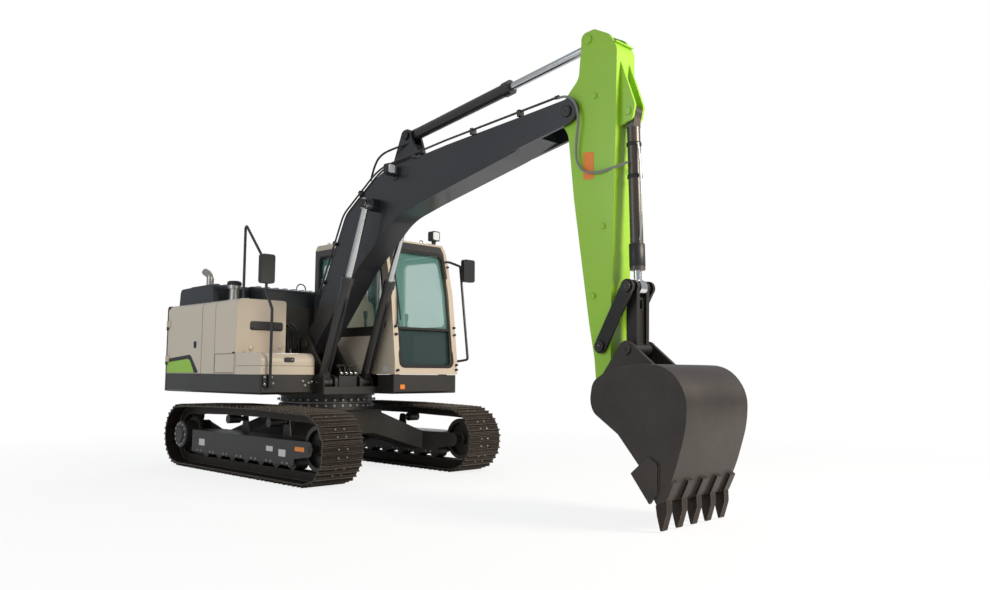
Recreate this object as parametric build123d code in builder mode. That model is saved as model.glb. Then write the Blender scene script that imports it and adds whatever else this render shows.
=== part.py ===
"""Crawler excavator of the 13.5 tonne class, as separate pieces around real joints.

Units are millimetres. X runs forward, Y to the machine's left and Z up. The origin lies on the
ground, in the middle of the machine's length and width. Outlines are given from the slew axis.
"""

import math
import os

from build123d import *

os.makedirs("parts", exist_ok=True)

# Frame and fits
SLEW_X = -1695.0  # the slew axis lies this far behind the middle of the machine
SLEW_Y = -100.0  # and this far to its right, as the left mirror reaches out
SEAT = 0.3  # gap between pieces that rest on each other
RUN = 0.1  # radial clearance of a running pin in its bore
SIDE_PLAY = 5.0  # gap on each side of a swinging eye
FREE = 6.0  # gap round a door or lid

# Tracks
TRACK_GAUGE = 2000.0
SHOE_WIDTH = 500.0
SHOE_COUNT = 43
SHOE_PLATE = 12.0
SHOE_FILL = 0.94  # share of the pitch that a shoe covers
SHOE_LAP = 5.0  # thickness of the lip that each shoe passes under the next
GROUSER_HEIGHT = 26.0
GROUSER_FOOT = 24.0
GROUSERS = 3
LINK_HEIGHT = 92.0
LINK_WIDTH = 150.0
CHAIN_RADIUS = 300.0
SPROCKET_TEETH = 21
LINK_PITCH = 4 * math.pi * CHAIN_RADIUS / SPROCKET_TEETH
TUMBLER_REACH = (SHOE_COUNT * LINK_PITCH - 2 * math.pi * CHAIN_RADIUS) / 4
TUMBLER_Z = CHAIN_RADIUS + LINK_HEIGHT / 2 + SHOE_PLATE + GROUSER_HEIGHT
RAIL_RADIUS = CHAIN_RADIUS - LINK_HEIGHT / 2
WRAP_RADIUS = CHAIN_RADIUS * math.cos(2 * math.pi / SPROCKET_TEETH) - LINK_HEIGHT / 2 - SEAT
CARRIER_X = 470.0
CARRIER_RISE = 24.0
CARRIER_RADIUS = 52.0
ROLLER_RADIUS = 78.0
ROLLER_FLANGE = 14.0
ROLLER_COUNT = 7
ROLLER_SPACING = 330.0
ROLLER_Z = TUMBLER_Z - RAIL_RADIUS + ROLLER_RADIUS + SEAT
CARRIER_Z = TUMBLER_Z + RAIL_RADIUS + CARRIER_RISE - CARRIER_RADIUS - SEAT - 1.0
AXLE_RADIUS = 30.0
TOOTH_DEPTH = 38.0
TOOTH_WIDTH = 44.0

# Track frames
FRAME_WIDTH = 340.0
FRAME_PLATE = 14.0
FRAME_BOTTOM = 190.0
FRAME_TOP = 455.0
FRAME_REAR = -1190.0
FRAME_BOX_FRONT = 1165.0
FRAME_FRONT = 1500.0
DRIVE_RADIUS = 170.0
DRIVE_REACH = 205.0  # outward from the middle of the track

# Car body and slew ring
HUB_HALF = 520.0
HUB_BOTTOM = 430.0
HUB_TOP = 720.0
HUB_PLATE = 16.0
LEG_WIDTH = 430.0
LEG_INNER_X = 300.0
LEG_OUTER_X = 660.0
LEG_BOTTOM = 235.0
LEG_TOP = 450.0
RING_SEAT_TOP = 800.0
RING_SEAT_RADIUS = 575.0
RACE_TOP = 908.0
RACE_RADIUS = 480.0
RACE_BORE = 400.0
RACE_GAP = 0.5
OUTER_RACE_RADIUS = 560.0
OUTER_RACE_BOTTOM = 815.0
TOW_EYE_RADIUS = 30.0
TOW_EYE_PLATE = 40.0
TOW_EYE_X = 610.0
TOW_EYE_HALF = 70.0

# Upper frame
DECK_BOTTOM = 920.0
DECK_PLATE = 25.0
SKIRT_TOP = 1143.0
SKIRT_PLATE = 12.0
DECK_REAR = -1870.0
RIGHT_SIDE = -1240.0
LEFT_SIDE = 1220.0
RIGHT_DECK_FRONT = 556.0
LEFT_DECK_FRONT = 1081.0
CHANNEL_FRONT = 760.0
CHANNEL_RIGHT = -552.0
CHANNEL_LEFT = 208.0

# Boom and its pivots
BOOM_Y = -170.0
BOOM_WIDTH = 300.0
BOOM_SIDE_PLATE = 10.0
BOOM_CHORD_PLATE = 13.0
BOOM_FOOT = (50.0, 1500.0)
BOOM_TIP = (4190.0, 3510.0)
BOOM_END_X = 3830.0
FOOT_PIN_RADIUS = 45.0
FOOT_BOSS_RADIUS = 120.0
TIP_PIN_RADIUS = 40.0
TIP_BOSS_RADIUS = 115.0
FORK_WIDTH = 340.0
FORK_PLATE = 35.0
EAR_PLATE = 40.0
TUBE_RADIUS = 11.0
TUBE_RISE = 46.0  # from the boom's top plate to the middle of a tube
TUBE_FROM = 330.0
TUBE_NUT = 40.0
LONG_TUBE_OFFSET = 161.0
SHORT_TUBE_OFFSET = 118.0
LONG_TUBE_REACH = 1540.0
SHORT_TUBE_REACH = 720.0
CLAMP_HALF = 20.0
TUBE_CLAMPS = ((0, 500.0, True), (0, 1000.0, True), (1, 380.0, True), (2, 600.0, True), (3, 400.0, False), (3, 1050.0, False))
BOOM_LAMP = (1760.0, -410.0, 3400.0)
LAMP_WIDTH = 110.0
LAMP_DEPTH = 70.0

# Cylinders: pin to pin at rest, from the machine in the photograph
BOOM_CYL_FOOT = (600.0, 1050.0)
BOOM_CYL_EYE = (1390.0, 3050.0)
BOOM_CYL_OFFSET = 295.0
BOOM_CYL_TUBE = 1290.0
BOOM_CYL_RADIUS = 62.0
BOOM_ROD_RADIUS = 37.0
ARM_CYL_FOOT = (1800.0, 3790.0)
ARM_CYL_EYE = (4410.0, 4120.0)
ARM_CYL_TUBE = 1560.0
ARM_CYL_RADIUS = 64.0
ARM_ROD_RADIUS = 39.0
BUCKET_CYL_FOOT = (4790.0, 3400.0)
BUCKET_CYL_EYE = (4820.0, 1890.0)
BUCKET_CYL_TUBE = 1365.0
BUCKET_CYL_RADIUS = 56.0
BUCKET_ROD_RADIUS = 34.0
CYL_EYE_RADIUS = 66.0
CYL_EYE_WIDTH = 90.0
CYL_PIN_RADIUS = 33.0
GLAND_LENGTH = 90.0
GLAND_EXTRA = 10.0
CYL_WALL = 11.0
CYL_NECK = 135.0
CYL_HEAD = 20.0
PISTON_LENGTH = 40.0
BOOM_CYL_CLOSED = 1507.0
ARM_CYL_CLOSED = 1790.0
BUCKET_CYL_CLOSED = 1470.0

# Arm and bucket linkage
ARM_WIDTH = 260.0
ARM_PLATE = 11.0
ARM_BOSSES = ((4482.0, 3588.0), (4560.0, 2426.0), (4452.0, 1831.0))
ARM_BOSS = 23.0
ARM_BOSS_HEIGHT = 16.0
IDLER_PIN = (4540.0, 1400.0)
BUCKET_PIN = (4560.0, 1040.0)
LINK_PIN = (4810.0, 1370.0)
ARM_BOSS_RADIUS = 85.0
IDLER_BOSS_RADIUS = 62.0
IDLER_PLATE = 28.0
LINK_BOSS_RADIUS = 60.0
BUCKET_EAR_PLATE = 32.0
BUCKET_BOSS_RADIUS = 72.0

# Bucket
BUCKET_LIP_WIDTH = 905.0
BUCKET_BACK_WIDTH = 800.0
BUCKET_SHEET = 14.0
BUCKET_SIDE = 18.0
TOOTH_COUNT = 5
TOOTH_SPREAD = 830.0
TOOTH_WIDTH_HALF = 34.0
TOOTH_REAR = 5266.0
TOOTH_FRONT = 5364.0
TOOTH_TIP_X = 5312.0
TOOTH_TIP_Z = 14.0
TOOTH_SEAT = 1.1 * SEAT  # straight down, as the cutting face leans
ADAPTER_HALF = 38.0
ADAPTER_PLATE = 38.0
CUTTER_PLATE = 22.0

# Cab
CAB_RIGHT = 215.0
CAB_LEFT = 1215.0
CAB_BASE = 1150.0
CAB_WALL = 45.0
PANE = 6.0
PANE_LAP = 18.0
CAB_REAR = -670.0
CAB_FRONT = 1081.0
CAB_TOP = 2860.0
CAB_DOOR_REAR = -60.0
DOOR_GAP = 8.0
DOOR_HINGE_HEIGHTS = (1380.0, 2380.0)
SIDE_HINGE_HEIGHTS = (1300.0, 1750.0)
HINGE_RADIUS = 13.0
HINGE_PIN = 6.0
HINGE_LENGTH = 80.0
HINGE_FOOT = 40.0
WINDOW_CORNER = 90.0
CAB_MOUNT_X = 1460.0
CAB_MOUNT_Y = 760.0
CAB_MOUNT_RADIUS = 55.0

# House
HOUSE_TOP = 2030.0
PANEL = 30.0
SHOULDER = 85.0
DOOR_REAR = -1852.0
GRILLE_MIDDLE = 1520.0
GRILLE_PITCH_X = 330.0
GRILLE_PITCH_Z = 48.0
GRILLE_COLUMNS = 2
GRILLE_ROWS = 10
GRILLE_SLOT = 20.0
HYDRAULIC_REAR = -879.0
DOOR_SWING_GAP = 14.0
DOOR_FRONT = HYDRAULIC_REAR - DOOR_SWING_GAP
TANK_REAR = -540.0
TANK_FRONT = -30.0
TANK_LEFT = -590.0
TANK_SHEET = 10.0
STEP_Y = -850.0
STEP_Z = 1715.0
STEP_WIDTH = 430.0
STEP_HEIGHT = 104.0
STEP_TREAD = 38.0
MANIFOLD_X = 660.0
MANIFOLD_TOP = 1130.0
PORT_PITCH = 67.0
PORT_RADIUS = 15.0
PORT_HEIGHT = 80.0
TOOLBOX_TOP = 1390.0
TOOLBOX_LEFT = CHANNEL_RIGHT
LID_SHEET = 8.0
HOOD_TOP = 2270.0
HOOD_REAR = -1840.0
HOOD_FRONT = -770.0
HOOD_RIGHT = -600.0
HOOD_LEFT = 960.0
HOOD_SHEET = 20.0
RIB_PITCH = 130.0
SHOULDER_REACH = 115.0
BULKHEAD_X = -735.0
LID_DEPTH = 150.0
LID_ROUND = 105.0
LID_KNUCKLE = 60.0
LID_KNUCKLE_RADIUS = 10.0
LID_PIN = 4.0
LID_HINGE_X = TANK_FRONT + 16
LID_HINGE_Z = TOOLBOX_TOP + LID_KNUCKLE_RADIUS - 1
LID_HINGES = (-1080.0, -720.0)
BEAM_TOP = 1183.0
ENGINE_BOTTOM = BEAM_TOP + SEAT
ENGINE_TOP = 1850.0
RIB_HEIGHT = 14.0
EXHAUST_X = -1620.0
EXHAUST_Y = -800.0
RAIL_TUBE = 16.0
RAIL_BEND = 28.0

# Counterweight
WEIGHT_TAIL = -2165.0
WEIGHT_CORNER_X = -1900.0
WEIGHT_HALF = 1235.0
WEIGHT_BOTTOM = 925.0
LIFT_HOLE_X = -1960.0
LIFT_HOLE_Y = 700.0
LIFT_HOLE_RADIUS = 15.0
LIFT_HOLE_DEPTH = 60.0
SIDE_HINGE_X = DOOR_REAR + 6
SIDE_HINGE_OUT = 14.0


def at(x, y, z):
    """Point given from the slew axis on the ground."""
    return (SLEW_X + x, SLEW_Y + y, z)


def side(y, x=0.0, z=0.0):
    """Upright plane along the machine at y; its sketch runs forward and up."""
    return Plane(origin=at(x, y, z), x_dir=(1, 0, 0), z_dir=(0, -1, 0))


def across(x, y=0.0, z=0.0):
    """Upright plane across the machine at x; its sketch runs left and up."""
    return Plane(origin=at(x, y, z), x_dir=(0, 1, 0), z_dir=(1, 0, 0))


def level(z, x=0.0, y=0.0):
    """Level plane at height z; its sketch runs forward and left."""
    return Plane(origin=at(x, y, z), x_dir=(1, 0, 0), z_dir=(0, 0, 1))


def outline(*corners):
    """Closed line from corners given as (along, up, rounding radius)."""
    with BuildLine() as loop:
        FilletPolyline(
            *[(along, up) for along, up, _ in corners],
            radius=[rounding for _, _, rounding in corners],
            close=True,
        )
    return loop.edges()


def inset(corners, wall):
    """Corners moved inward by a wall's thickness, with their roundings to suit."""
    area = 0.0
    for (x0, z0, _), (x1, z1, _) in zip(corners, corners[1:] + corners[:1]):
        area += x0 * z1 - x1 * z0
    turn = 1 if area > 0 else -1
    moved = []
    for index, (x, z, rounding) in enumerate(corners):
        before = corners[index - 1]
        after = corners[(index + 1) % len(corners)]
        first = math.hypot(x - before[0], z - before[1])
        second = math.hypot(after[0] - x, after[1] - z)
        into = ((x - before[0]) / first, (z - before[1]) / first)
        away = ((after[0] - x) / second, (after[1] - z) / second)
        lean = (-turn * (into[1] + away[1]), turn * (into[0] + away[0]))
        scale = 2 * wall / (lean[0] ** 2 + lean[1] ** 2)
        convex = turn * (into[0] * away[1] - into[1] * away[0]) > 0
        rounded = max(rounding - wall, 0.0) if convex else rounding + wall if rounding > 0 else 0.0
        moved.append((x + lean[0] * scale, z + lean[1] * scale, rounded))
    return tuple(moved)


def box_corners(x_from, x_to, z_from, z_to, rounding=0.0):
    """Corners of an upright rectangle for outline()."""
    return (
        (x_from, z_from, rounding),
        (x_to, z_from, rounding),
        (x_to, z_to, rounding),
        (x_from, z_to, rounding),
    )


def distance(start, end):
    return math.hypot(end[0] - start[0], end[1] - start[1])


def cylinder_plane(foot, eye, y):
    """Plane at the foot pin, its sketch running along the cylinder and up from it."""
    run = distance(foot, eye)
    along = ((eye[0] - foot[0]) / run, 0, (eye[1] - foot[1]) / run)
    return Plane(origin=at(foot[0], y, foot[1]), x_dir=along, z_dir=(0, -1, 0))


STANDING = (Align.CENTER, Align.CENTER, Align.MIN)
HANGING = (Align.CENTER, Align.CENTER, Align.MAX)


def hinge_pin(x, y, z):
    """Fixed half of a hinge: a foot under the moving barrel, and its pin."""
    with Locations(at(x, y, z - SEAT)):
        Cylinder(HINGE_RADIUS, HINGE_FOOT, align=HANGING)
    with Locations(at(x, y, z - SEAT - 1)):
        Cylinder(HINGE_PIN, HINGE_LENGTH, align=STANDING)


def hinge_barrel(x, y, z):
    """Moving half of a hinge: a barrel over the fixed pin."""
    with Locations(at(x, y, z)):
        Cylinder(HINGE_RADIUS, HINGE_LENGTH, align=STANDING)
        Cylinder(HINGE_PIN + RUN, HINGE_LENGTH, align=STANDING, mode=Mode.SUBTRACT)


def save(builder, name):
    builder.part.label = name
    export_step(builder.part, f"parts/{name}.step")


SIDES = (("left", 1), ("right", -1))


# Track chain and shoes
def loop_point(travel):
    """Point on the chain's pin line, measured from the sprocket's rearmost point."""
    quarter = math.pi / 2 * CHAIN_RADIUS
    run = 2 * TUMBLER_REACH
    if travel < quarter:
        angle = math.pi + travel / CHAIN_RADIUS
        return (-TUMBLER_REACH + CHAIN_RADIUS * math.cos(angle), TUMBLER_Z + CHAIN_RADIUS * math.sin(angle))
    travel -= quarter
    if travel < run:
        return (-TUMBLER_REACH + travel, TUMBLER_Z - CHAIN_RADIUS)
    travel -= run
    if travel < 2 * quarter:
        angle = -math.pi / 2 + travel / CHAIN_RADIUS
        return (TUMBLER_REACH + CHAIN_RADIUS * math.cos(angle), TUMBLER_Z + CHAIN_RADIUS * math.sin(angle))
    travel -= 2 * quarter
    for start, end in zip(UPPER_RUN, UPPER_RUN[1:]):
        length = distance(start, end)
        if travel < length:
            share = travel / length
            return (start[0] + share * (end[0] - start[0]), start[1] + share * (end[1] - start[1]))
        travel -= length
    angle = math.pi / 2 + travel / CHAIN_RADIUS
    return (-TUMBLER_REACH + CHAIN_RADIUS * math.cos(angle), TUMBLER_Z + CHAIN_RADIUS * math.sin(angle))


UPPER_RUN = (
    (TUMBLER_REACH, TUMBLER_Z + CHAIN_RADIUS),
    (CARRIER_X, TUMBLER_Z + CHAIN_RADIUS + CARRIER_RISE),
    (-CARRIER_X, TUMBLER_Z + CHAIN_RADIUS + CARRIER_RISE),
    (-TUMBLER_REACH, TUMBLER_Z + CHAIN_RADIUS),
)
UPPER_LENGTH = sum(distance(start, end) for start, end in zip(UPPER_RUN, UPPER_RUN[1:]))
LOOP_LENGTH = 2 * math.pi * CHAIN_RADIUS + 2 * TUMBLER_REACH + UPPER_LENGTH
SHOE_PITCH = LOOP_LENGTH / SHOE_COUNT
# One pin lies just where the chain leaves the floor, so the next shoe rises clear of it
PIN_PHASE = (math.pi / 2 * CHAIN_RADIUS + 2 * TUMBLER_REACH) % SHOE_PITCH
CHAIN_PINS = [loop_point(PIN_PHASE + index * SHOE_PITCH) for index in range(SHOE_COUNT)]


def link_frame(index):
    """Middle of a link with its forward and outward directions."""
    start = CHAIN_PINS[index % SHOE_COUNT]
    end = CHAIN_PINS[(index + 1) % SHOE_COUNT]
    length = distance(start, end)
    forward = ((end[0] - start[0]) / length, (end[1] - start[1]) / length)
    outward = (forward[1], -forward[0])
    middle = ((start[0] + end[0]) / 2, (start[1] + end[1]) / 2)
    return middle, forward, outward


def chain_ring(offset):
    """Corners of the chain's edge, offset outward from the pin line."""
    corners = []
    for index, pin in enumerate(CHAIN_PINS):
        before = link_frame(index - 1)[2]
        after = link_frame(index)[2]
        lean = (before[0] + after[0], before[1] + after[1])
        scale = offset * 2 / (lean[0] ** 2 + lean[1] ** 2)
        corners.append((pin[0] + lean[0] * scale, pin[1] + lean[1] * scale))
    return corners


def shoe_corners(index):
    """Side view of one shoe: a plate with its bars."""
    middle, forward, outward = link_frame(index)
    half = LINK_PITCH * SHOE_FILL / 2
    base = LINK_HEIGHT / 2
    local = [(-half, base), (-half, base + SHOE_PLATE)]
    for bar in range(GROUSERS):
        centre = -half + GROUSER_FOOT / 2 + bar * (2 * half - GROUSER_FOOT) / (GROUSERS - 1)
        foot = GROUSER_FOOT / 2
        if bar > 0:
            local.append((centre - foot, base + SHOE_PLATE))
        local.append((centre, base + SHOE_PLATE + GROUSER_HEIGHT))
        if bar < GROUSERS - 1:
            local.append((centre + foot, base + SHOE_PLATE))
    local.append((half, base + SHOE_PLATE))
    local.append((half, base))
    return [
        (
            middle[0] + along * forward[0] + out * outward[0],
            middle[1] + along * forward[1] + out * outward[1],
        )
        for along, out in local
    ]


for name, sign in SIDES:
    track_y = sign * TRACK_GAUGE / 2
    with BuildPart() as track:
        with BuildSketch(side(track_y)):
            for index in range(SHOE_COUNT):
                Polygon(*shoe_corners(index), align=None)
        extrude(amount=SHOE_WIDTH / 2, both=True)
        with BuildSketch(side(track_y)):
            Polygon(*chain_ring(LINK_HEIGHT / 2 + SHOE_LAP), align=None)
            Polygon(*chain_ring(LINK_HEIGHT / 2 - 1), align=None, mode=Mode.SUBTRACT)
        extrude(amount=SHOE_WIDTH / 2 - SHOE_LAP, both=True)
        with BuildSketch(side(track_y)):
            Polygon(*chain_ring(LINK_HEIGHT / 2), align=None)
            Polygon(*chain_ring(-LINK_HEIGHT / 2), align=None, mode=Mode.SUBTRACT)
        extrude(amount=LINK_WIDTH / 2, both=True)
    save(track, f"track_{name}")

# Sprockets with their drive housings
for name, sign in SIDES:
    track_y = sign * TRACK_GAUGE / 2
    inner_y = track_y - sign * (FRAME_WIDTH / 2 - 2 * FRAME_PLATE - SEAT)
    with BuildPart() as sprocket:
        with BuildSketch(side(track_y, -TUMBLER_REACH, TUMBLER_Z)):
            Circle(WRAP_RADIUS - TOOTH_DEPTH)
            with PolarLocations(WRAP_RADIUS - TOOTH_DEPTH / 2 - 4, SPROCKET_TEETH):
                Trapezoid(TOOTH_WIDTH, TOOTH_DEPTH + 8, 68, rotation=-90)
        extrude(amount=LINK_WIDTH / 6, both=True)
        with BuildSketch(side(inner_y, -TUMBLER_REACH, TUMBLER_Z)):
            Circle(DRIVE_RADIUS)
        extrude(until=None, amount=-sign * (abs(track_y - inner_y) + DRIVE_REACH))
        fillet(sprocket.edges().filter_by(GeomType.CIRCLE).sort_by(Axis.Y)[-1 if sign > 0 else 0], 18)
    save(sprocket, f"sprocket_{name}")

# Front idlers with their axles
for name, sign in SIDES:
    track_y = sign * TRACK_GAUGE / 2
    with BuildPart() as idler:
        with BuildSketch(side(track_y, TUMBLER_REACH, TUMBLER_Z)):
            Circle(WRAP_RADIUS)
        extrude(amount=LINK_WIDTH / 2, both=True)
        with BuildSketch(side(track_y, TUMBLER_REACH, TUMBLER_Z)):
            Circle(AXLE_RADIUS + 15)
        extrude(amount=FRAME_WIDTH / 2 - FRAME_PLATE - SEAT, both=True)
        for face_y in (track_y - LINK_WIDTH / 2, track_y + LINK_WIDTH / 2):
            with BuildSketch(side(face_y, TUMBLER_REACH, TUMBLER_Z)):
                Circle(RAIL_RADIUS - 60)
                Circle(AXLE_RADIUS + 45, mode=Mode.SUBTRACT)
            extrude(amount=LINK_WIDTH / 3, both=True, mode=Mode.SUBTRACT)
    save(idler, f"idler_{name}")

# Track rollers and carrier rollers
for name, sign in SIDES:
    track_y = sign * TRACK_GAUGE / 2
    roller_half = FRAME_WIDTH / 2 - FRAME_PLATE - SEAT
    first = -ROLLER_SPACING * (ROLLER_COUNT - 1) / 2
    with BuildPart() as rollers:
        for index in range(ROLLER_COUNT):
            with BuildSketch(side(track_y, first + index * ROLLER_SPACING, ROLLER_Z)):
                Circle(ROLLER_RADIUS)
            extrude(amount=LINK_WIDTH / 2, both=True)
            with BuildSketch(side(track_y, first + index * ROLLER_SPACING, ROLLER_Z)):
                Circle(AXLE_RADIUS)
            extrude(amount=roller_half, both=True)
        for carrier_x in (-CARRIER_X, CARRIER_X):
            with BuildSketch(side(track_y, carrier_x, CARRIER_Z)):
                Circle(CARRIER_RADIUS)
            extrude(amount=LINK_WIDTH / 2, both=True)
            with BuildSketch(side(track_y - sign * LINK_WIDTH / 2, carrier_x, CARRIER_Z)):
                Circle(AXLE_RADIUS)
            extrude(amount=sign * (roller_half - LINK_WIDTH / 2))
    save(rollers, f"rollers_{name}")

# Track frames: plated channels over the rollers, with the idler yoke and the drive plate
for name, sign in SIDES:
    track_y = sign * TRACK_GAUGE / 2
    inner_face = track_y - sign * FRAME_WIDTH / 2
    with BuildPart() as track_frame:
        with BuildSketch(side(track_y)):
            make_face(
                outline(
                    (FRAME_REAR, FRAME_BOTTOM, 20),
                    (FRAME_BOX_FRONT, FRAME_BOTTOM, 30),
                    (FRAME_BOX_FRONT, FRAME_TOP, 30),
                    (FRAME_REAR, FRAME_TOP, 20),
                )
            )
        extrude(amount=FRAME_WIDTH / 2, both=True)
        with BuildSketch(side(track_y)):
            make_face(
                outline(
                    (FRAME_REAR + FRAME_PLATE, FRAME_BOTTOM - 50, 0),
                    (FRAME_FRONT, FRAME_BOTTOM - 50, 0),
                    (FRAME_FRONT, FRAME_TOP - FRAME_PLATE, 0),
                    (FRAME_REAR + FRAME_PLATE, FRAME_TOP - FRAME_PLATE, 0),
                )
            )
        extrude(amount=FRAME_WIDTH / 2 - FRAME_PLATE, both=True, mode=Mode.SUBTRACT)
        for face_y in (track_y - FRAME_WIDTH / 2 + FRAME_PLATE, track_y + FRAME_WIDTH / 2):
            with BuildSketch(side(face_y)):
                make_face(
                    outline(
                        (FRAME_BOX_FRONT - 80, FRAME_TOP - 200, 0),
                        (FRAME_FRONT, TUMBLER_Z - 75, 60),
                        (FRAME_FRONT, TUMBLER_Z + 75, 60),
                        (FRAME_BOX_FRONT - 80, FRAME_TOP, 0),
                    )
                )
            extrude(amount=FRAME_PLATE)
        with BuildSketch(side(inner_face + (FRAME_PLATE * 2 if sign > 0 else 0))):
            make_face(
                outline(
                    (-TUMBLER_REACH, TUMBLER_Z - DRIVE_RADIUS, 0),
                    (FRAME_REAR + 120, FRAME_BOTTOM, 0),
                    (FRAME_REAR + 120, FRAME_TOP, 0),
                    (-TUMBLER_REACH, TUMBLER_Z + DRIVE_RADIUS, 0),
                )
            )
            with Locations((-TUMBLER_REACH, TUMBLER_Z)):
                Circle(DRIVE_RADIUS)
        extrude(amount=FRAME_PLATE * 2)
        for carrier_x in (-CARRIER_X, CARRIER_X):
            with BuildSketch(side(inner_face + (FRAME_PLATE if sign > 0 else 0))):
                make_face(
                    outline(
                        (carrier_x - 90, FRAME_TOP - 10, 0),
                        (carrier_x + 90, FRAME_TOP - 10, 0),
                        (carrier_x + 45, CARRIER_Z + 45, 30),
                        (carrier_x - 45, CARRIER_Z + 45, 30),
                    )
                )
            extrude(amount=FRAME_PLATE)
    save(track_frame, f"track_frame_{name}")

# Car body: a plated hub with four legs down to the track frames, and the tow eyes
with BuildPart() as car_body:
    with BuildSketch(level(HUB_BOTTOM)):
        RectangleRounded(2 * HUB_HALF, 2 * HUB_HALF, 120)
    extrude(amount=HUB_TOP - HUB_BOTTOM)
    with BuildSketch(level(HUB_TOP)):
        Circle(RING_SEAT_RADIUS)
    extrude(amount=RING_SEAT_TOP - HUB_TOP)
    leg_end = TRACK_GAUGE / 2 - FRAME_WIDTH / 2 - SEAT
    for _, sign in SIDES:
        for end in (1, -1):
            with BuildSketch(side(sign * (HUB_HALF - 160), end * LEG_INNER_X, (HUB_BOTTOM + HUB_TOP) / 2)):
                Rectangle(LEG_WIDTH, HUB_TOP - HUB_BOTTOM)
            with BuildSketch(side(sign * leg_end, end * LEG_OUTER_X, (LEG_BOTTOM + LEG_TOP) / 2)):
                Rectangle(LEG_WIDTH, LEG_TOP - LEG_BOTTOM)
            loft()
    with BuildSketch(level(HUB_BOTTOM + HUB_PLATE)):
        RectangleRounded(2 * (HUB_HALF - HUB_PLATE), 2 * (HUB_HALF - HUB_PLATE), 104)
    extrude(amount=HUB_TOP - HUB_BOTTOM - 2 * HUB_PLATE, mode=Mode.SUBTRACT)
    for _, sign in SIDES:
        for end in (1, -1):
            with BuildSketch(side(sign * (HUB_HALF - 170), end * LEG_INNER_X, (HUB_BOTTOM + HUB_TOP) / 2)):
                Rectangle(LEG_WIDTH - 2 * HUB_PLATE, HUB_TOP - HUB_BOTTOM - 2 * HUB_PLATE)
            with BuildSketch(side(sign * (leg_end - HUB_PLATE), end * LEG_OUTER_X, (LEG_BOTTOM + LEG_TOP) / 2)):
                Rectangle(LEG_WIDTH - 2 * HUB_PLATE, LEG_TOP - LEG_BOTTOM - 2 * HUB_PLATE)
            loft(mode=Mode.SUBTRACT)
    with BuildSketch(level(HUB_BOTTOM - 60)):
        Circle(RACE_BORE - 90)
    extrude(amount=RING_SEAT_TOP - HUB_BOTTOM + 120, mode=Mode.SUBTRACT)
    for end in (1, -1):
        with BuildSketch(level(HUB_BOTTOM)):
            make_face(
                outline(
                    (end * (HUB_HALF - 10), -TOW_EYE_HALF - 40, 0),
                    (end * (TOW_EYE_X + TOW_EYE_HALF), -TOW_EYE_HALF, 50),
                    (end * (TOW_EYE_X + TOW_EYE_HALF), TOW_EYE_HALF, 50),
                    (end * (HUB_HALF - 10), TOW_EYE_HALF + 40, 0),
                )
            )
            with Locations((end * TOW_EYE_X, 0)):
                Circle(TOW_EYE_RADIUS, mode=Mode.SUBTRACT)
        extrude(amount=TOW_EYE_PLATE)
save(car_body, "car_body")

# Slew ring: the toothed inner race stays with the car body, the outer race turns
with BuildPart() as inner_race:
    with BuildSketch(level(RING_SEAT_TOP)):
        Circle(RACE_RADIUS)
        Circle(RACE_BORE, mode=Mode.SUBTRACT)
    extrude(amount=RACE_TOP - RING_SEAT_TOP)
save(inner_race, "slew_ring_inner")

with BuildPart() as outer_race:
    with BuildSketch(level(OUTER_RACE_BOTTOM)):
        Circle(OUTER_RACE_RADIUS)
        Circle(RACE_RADIUS + RACE_GAP, mode=Mode.SUBTRACT)
    extrude(amount=DECK_BOTTOM - OUTER_RACE_BOTTOM)
    with BuildSketch(level(DECK_BOTTOM)):
        Circle(OUTER_RACE_RADIUS + 30)
        Circle(RACE_RADIUS + RACE_GAP, mode=Mode.SUBTRACT)
    extrude(amount=-28)
save(outer_race, "slew_ring_outer")

# Upper frame: deck tray with skirts, boom ears, cylinder ears and the two long beams
DECK_CORNERS = (
    (DECK_REAR, RIGHT_SIDE, 30),
    (RIGHT_DECK_FRONT, RIGHT_SIDE, 30),
    (RIGHT_DECK_FRONT, CHANNEL_RIGHT, 0),
    (CHANNEL_FRONT, CHANNEL_RIGHT, 20),
    (CHANNEL_FRONT, CHANNEL_LEFT, 0),
    (LEFT_DECK_FRONT, CHANNEL_LEFT, 20),
    (LEFT_DECK_FRONT, LEFT_SIDE, 60),
    (DECK_REAR, LEFT_SIDE, 30),
)
BEAM_INNER = BOOM_WIDTH / 2 + SIDE_PLAY


def bevel_corners(edge, inward):
    """Triangle that bevels the deck's lower edge by the deck plate's thickness."""
    return (
        (edge - inward * SKIRT_PLATE, DECK_BOTTOM - SKIRT_PLATE, 0),
        (edge + inward * (DECK_PLATE + SKIRT_PLATE), DECK_BOTTOM - SKIRT_PLATE, 0),
        (edge - inward * SKIRT_PLATE, DECK_BOTTOM + DECK_PLATE + SKIRT_PLATE, 0),
    )


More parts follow.
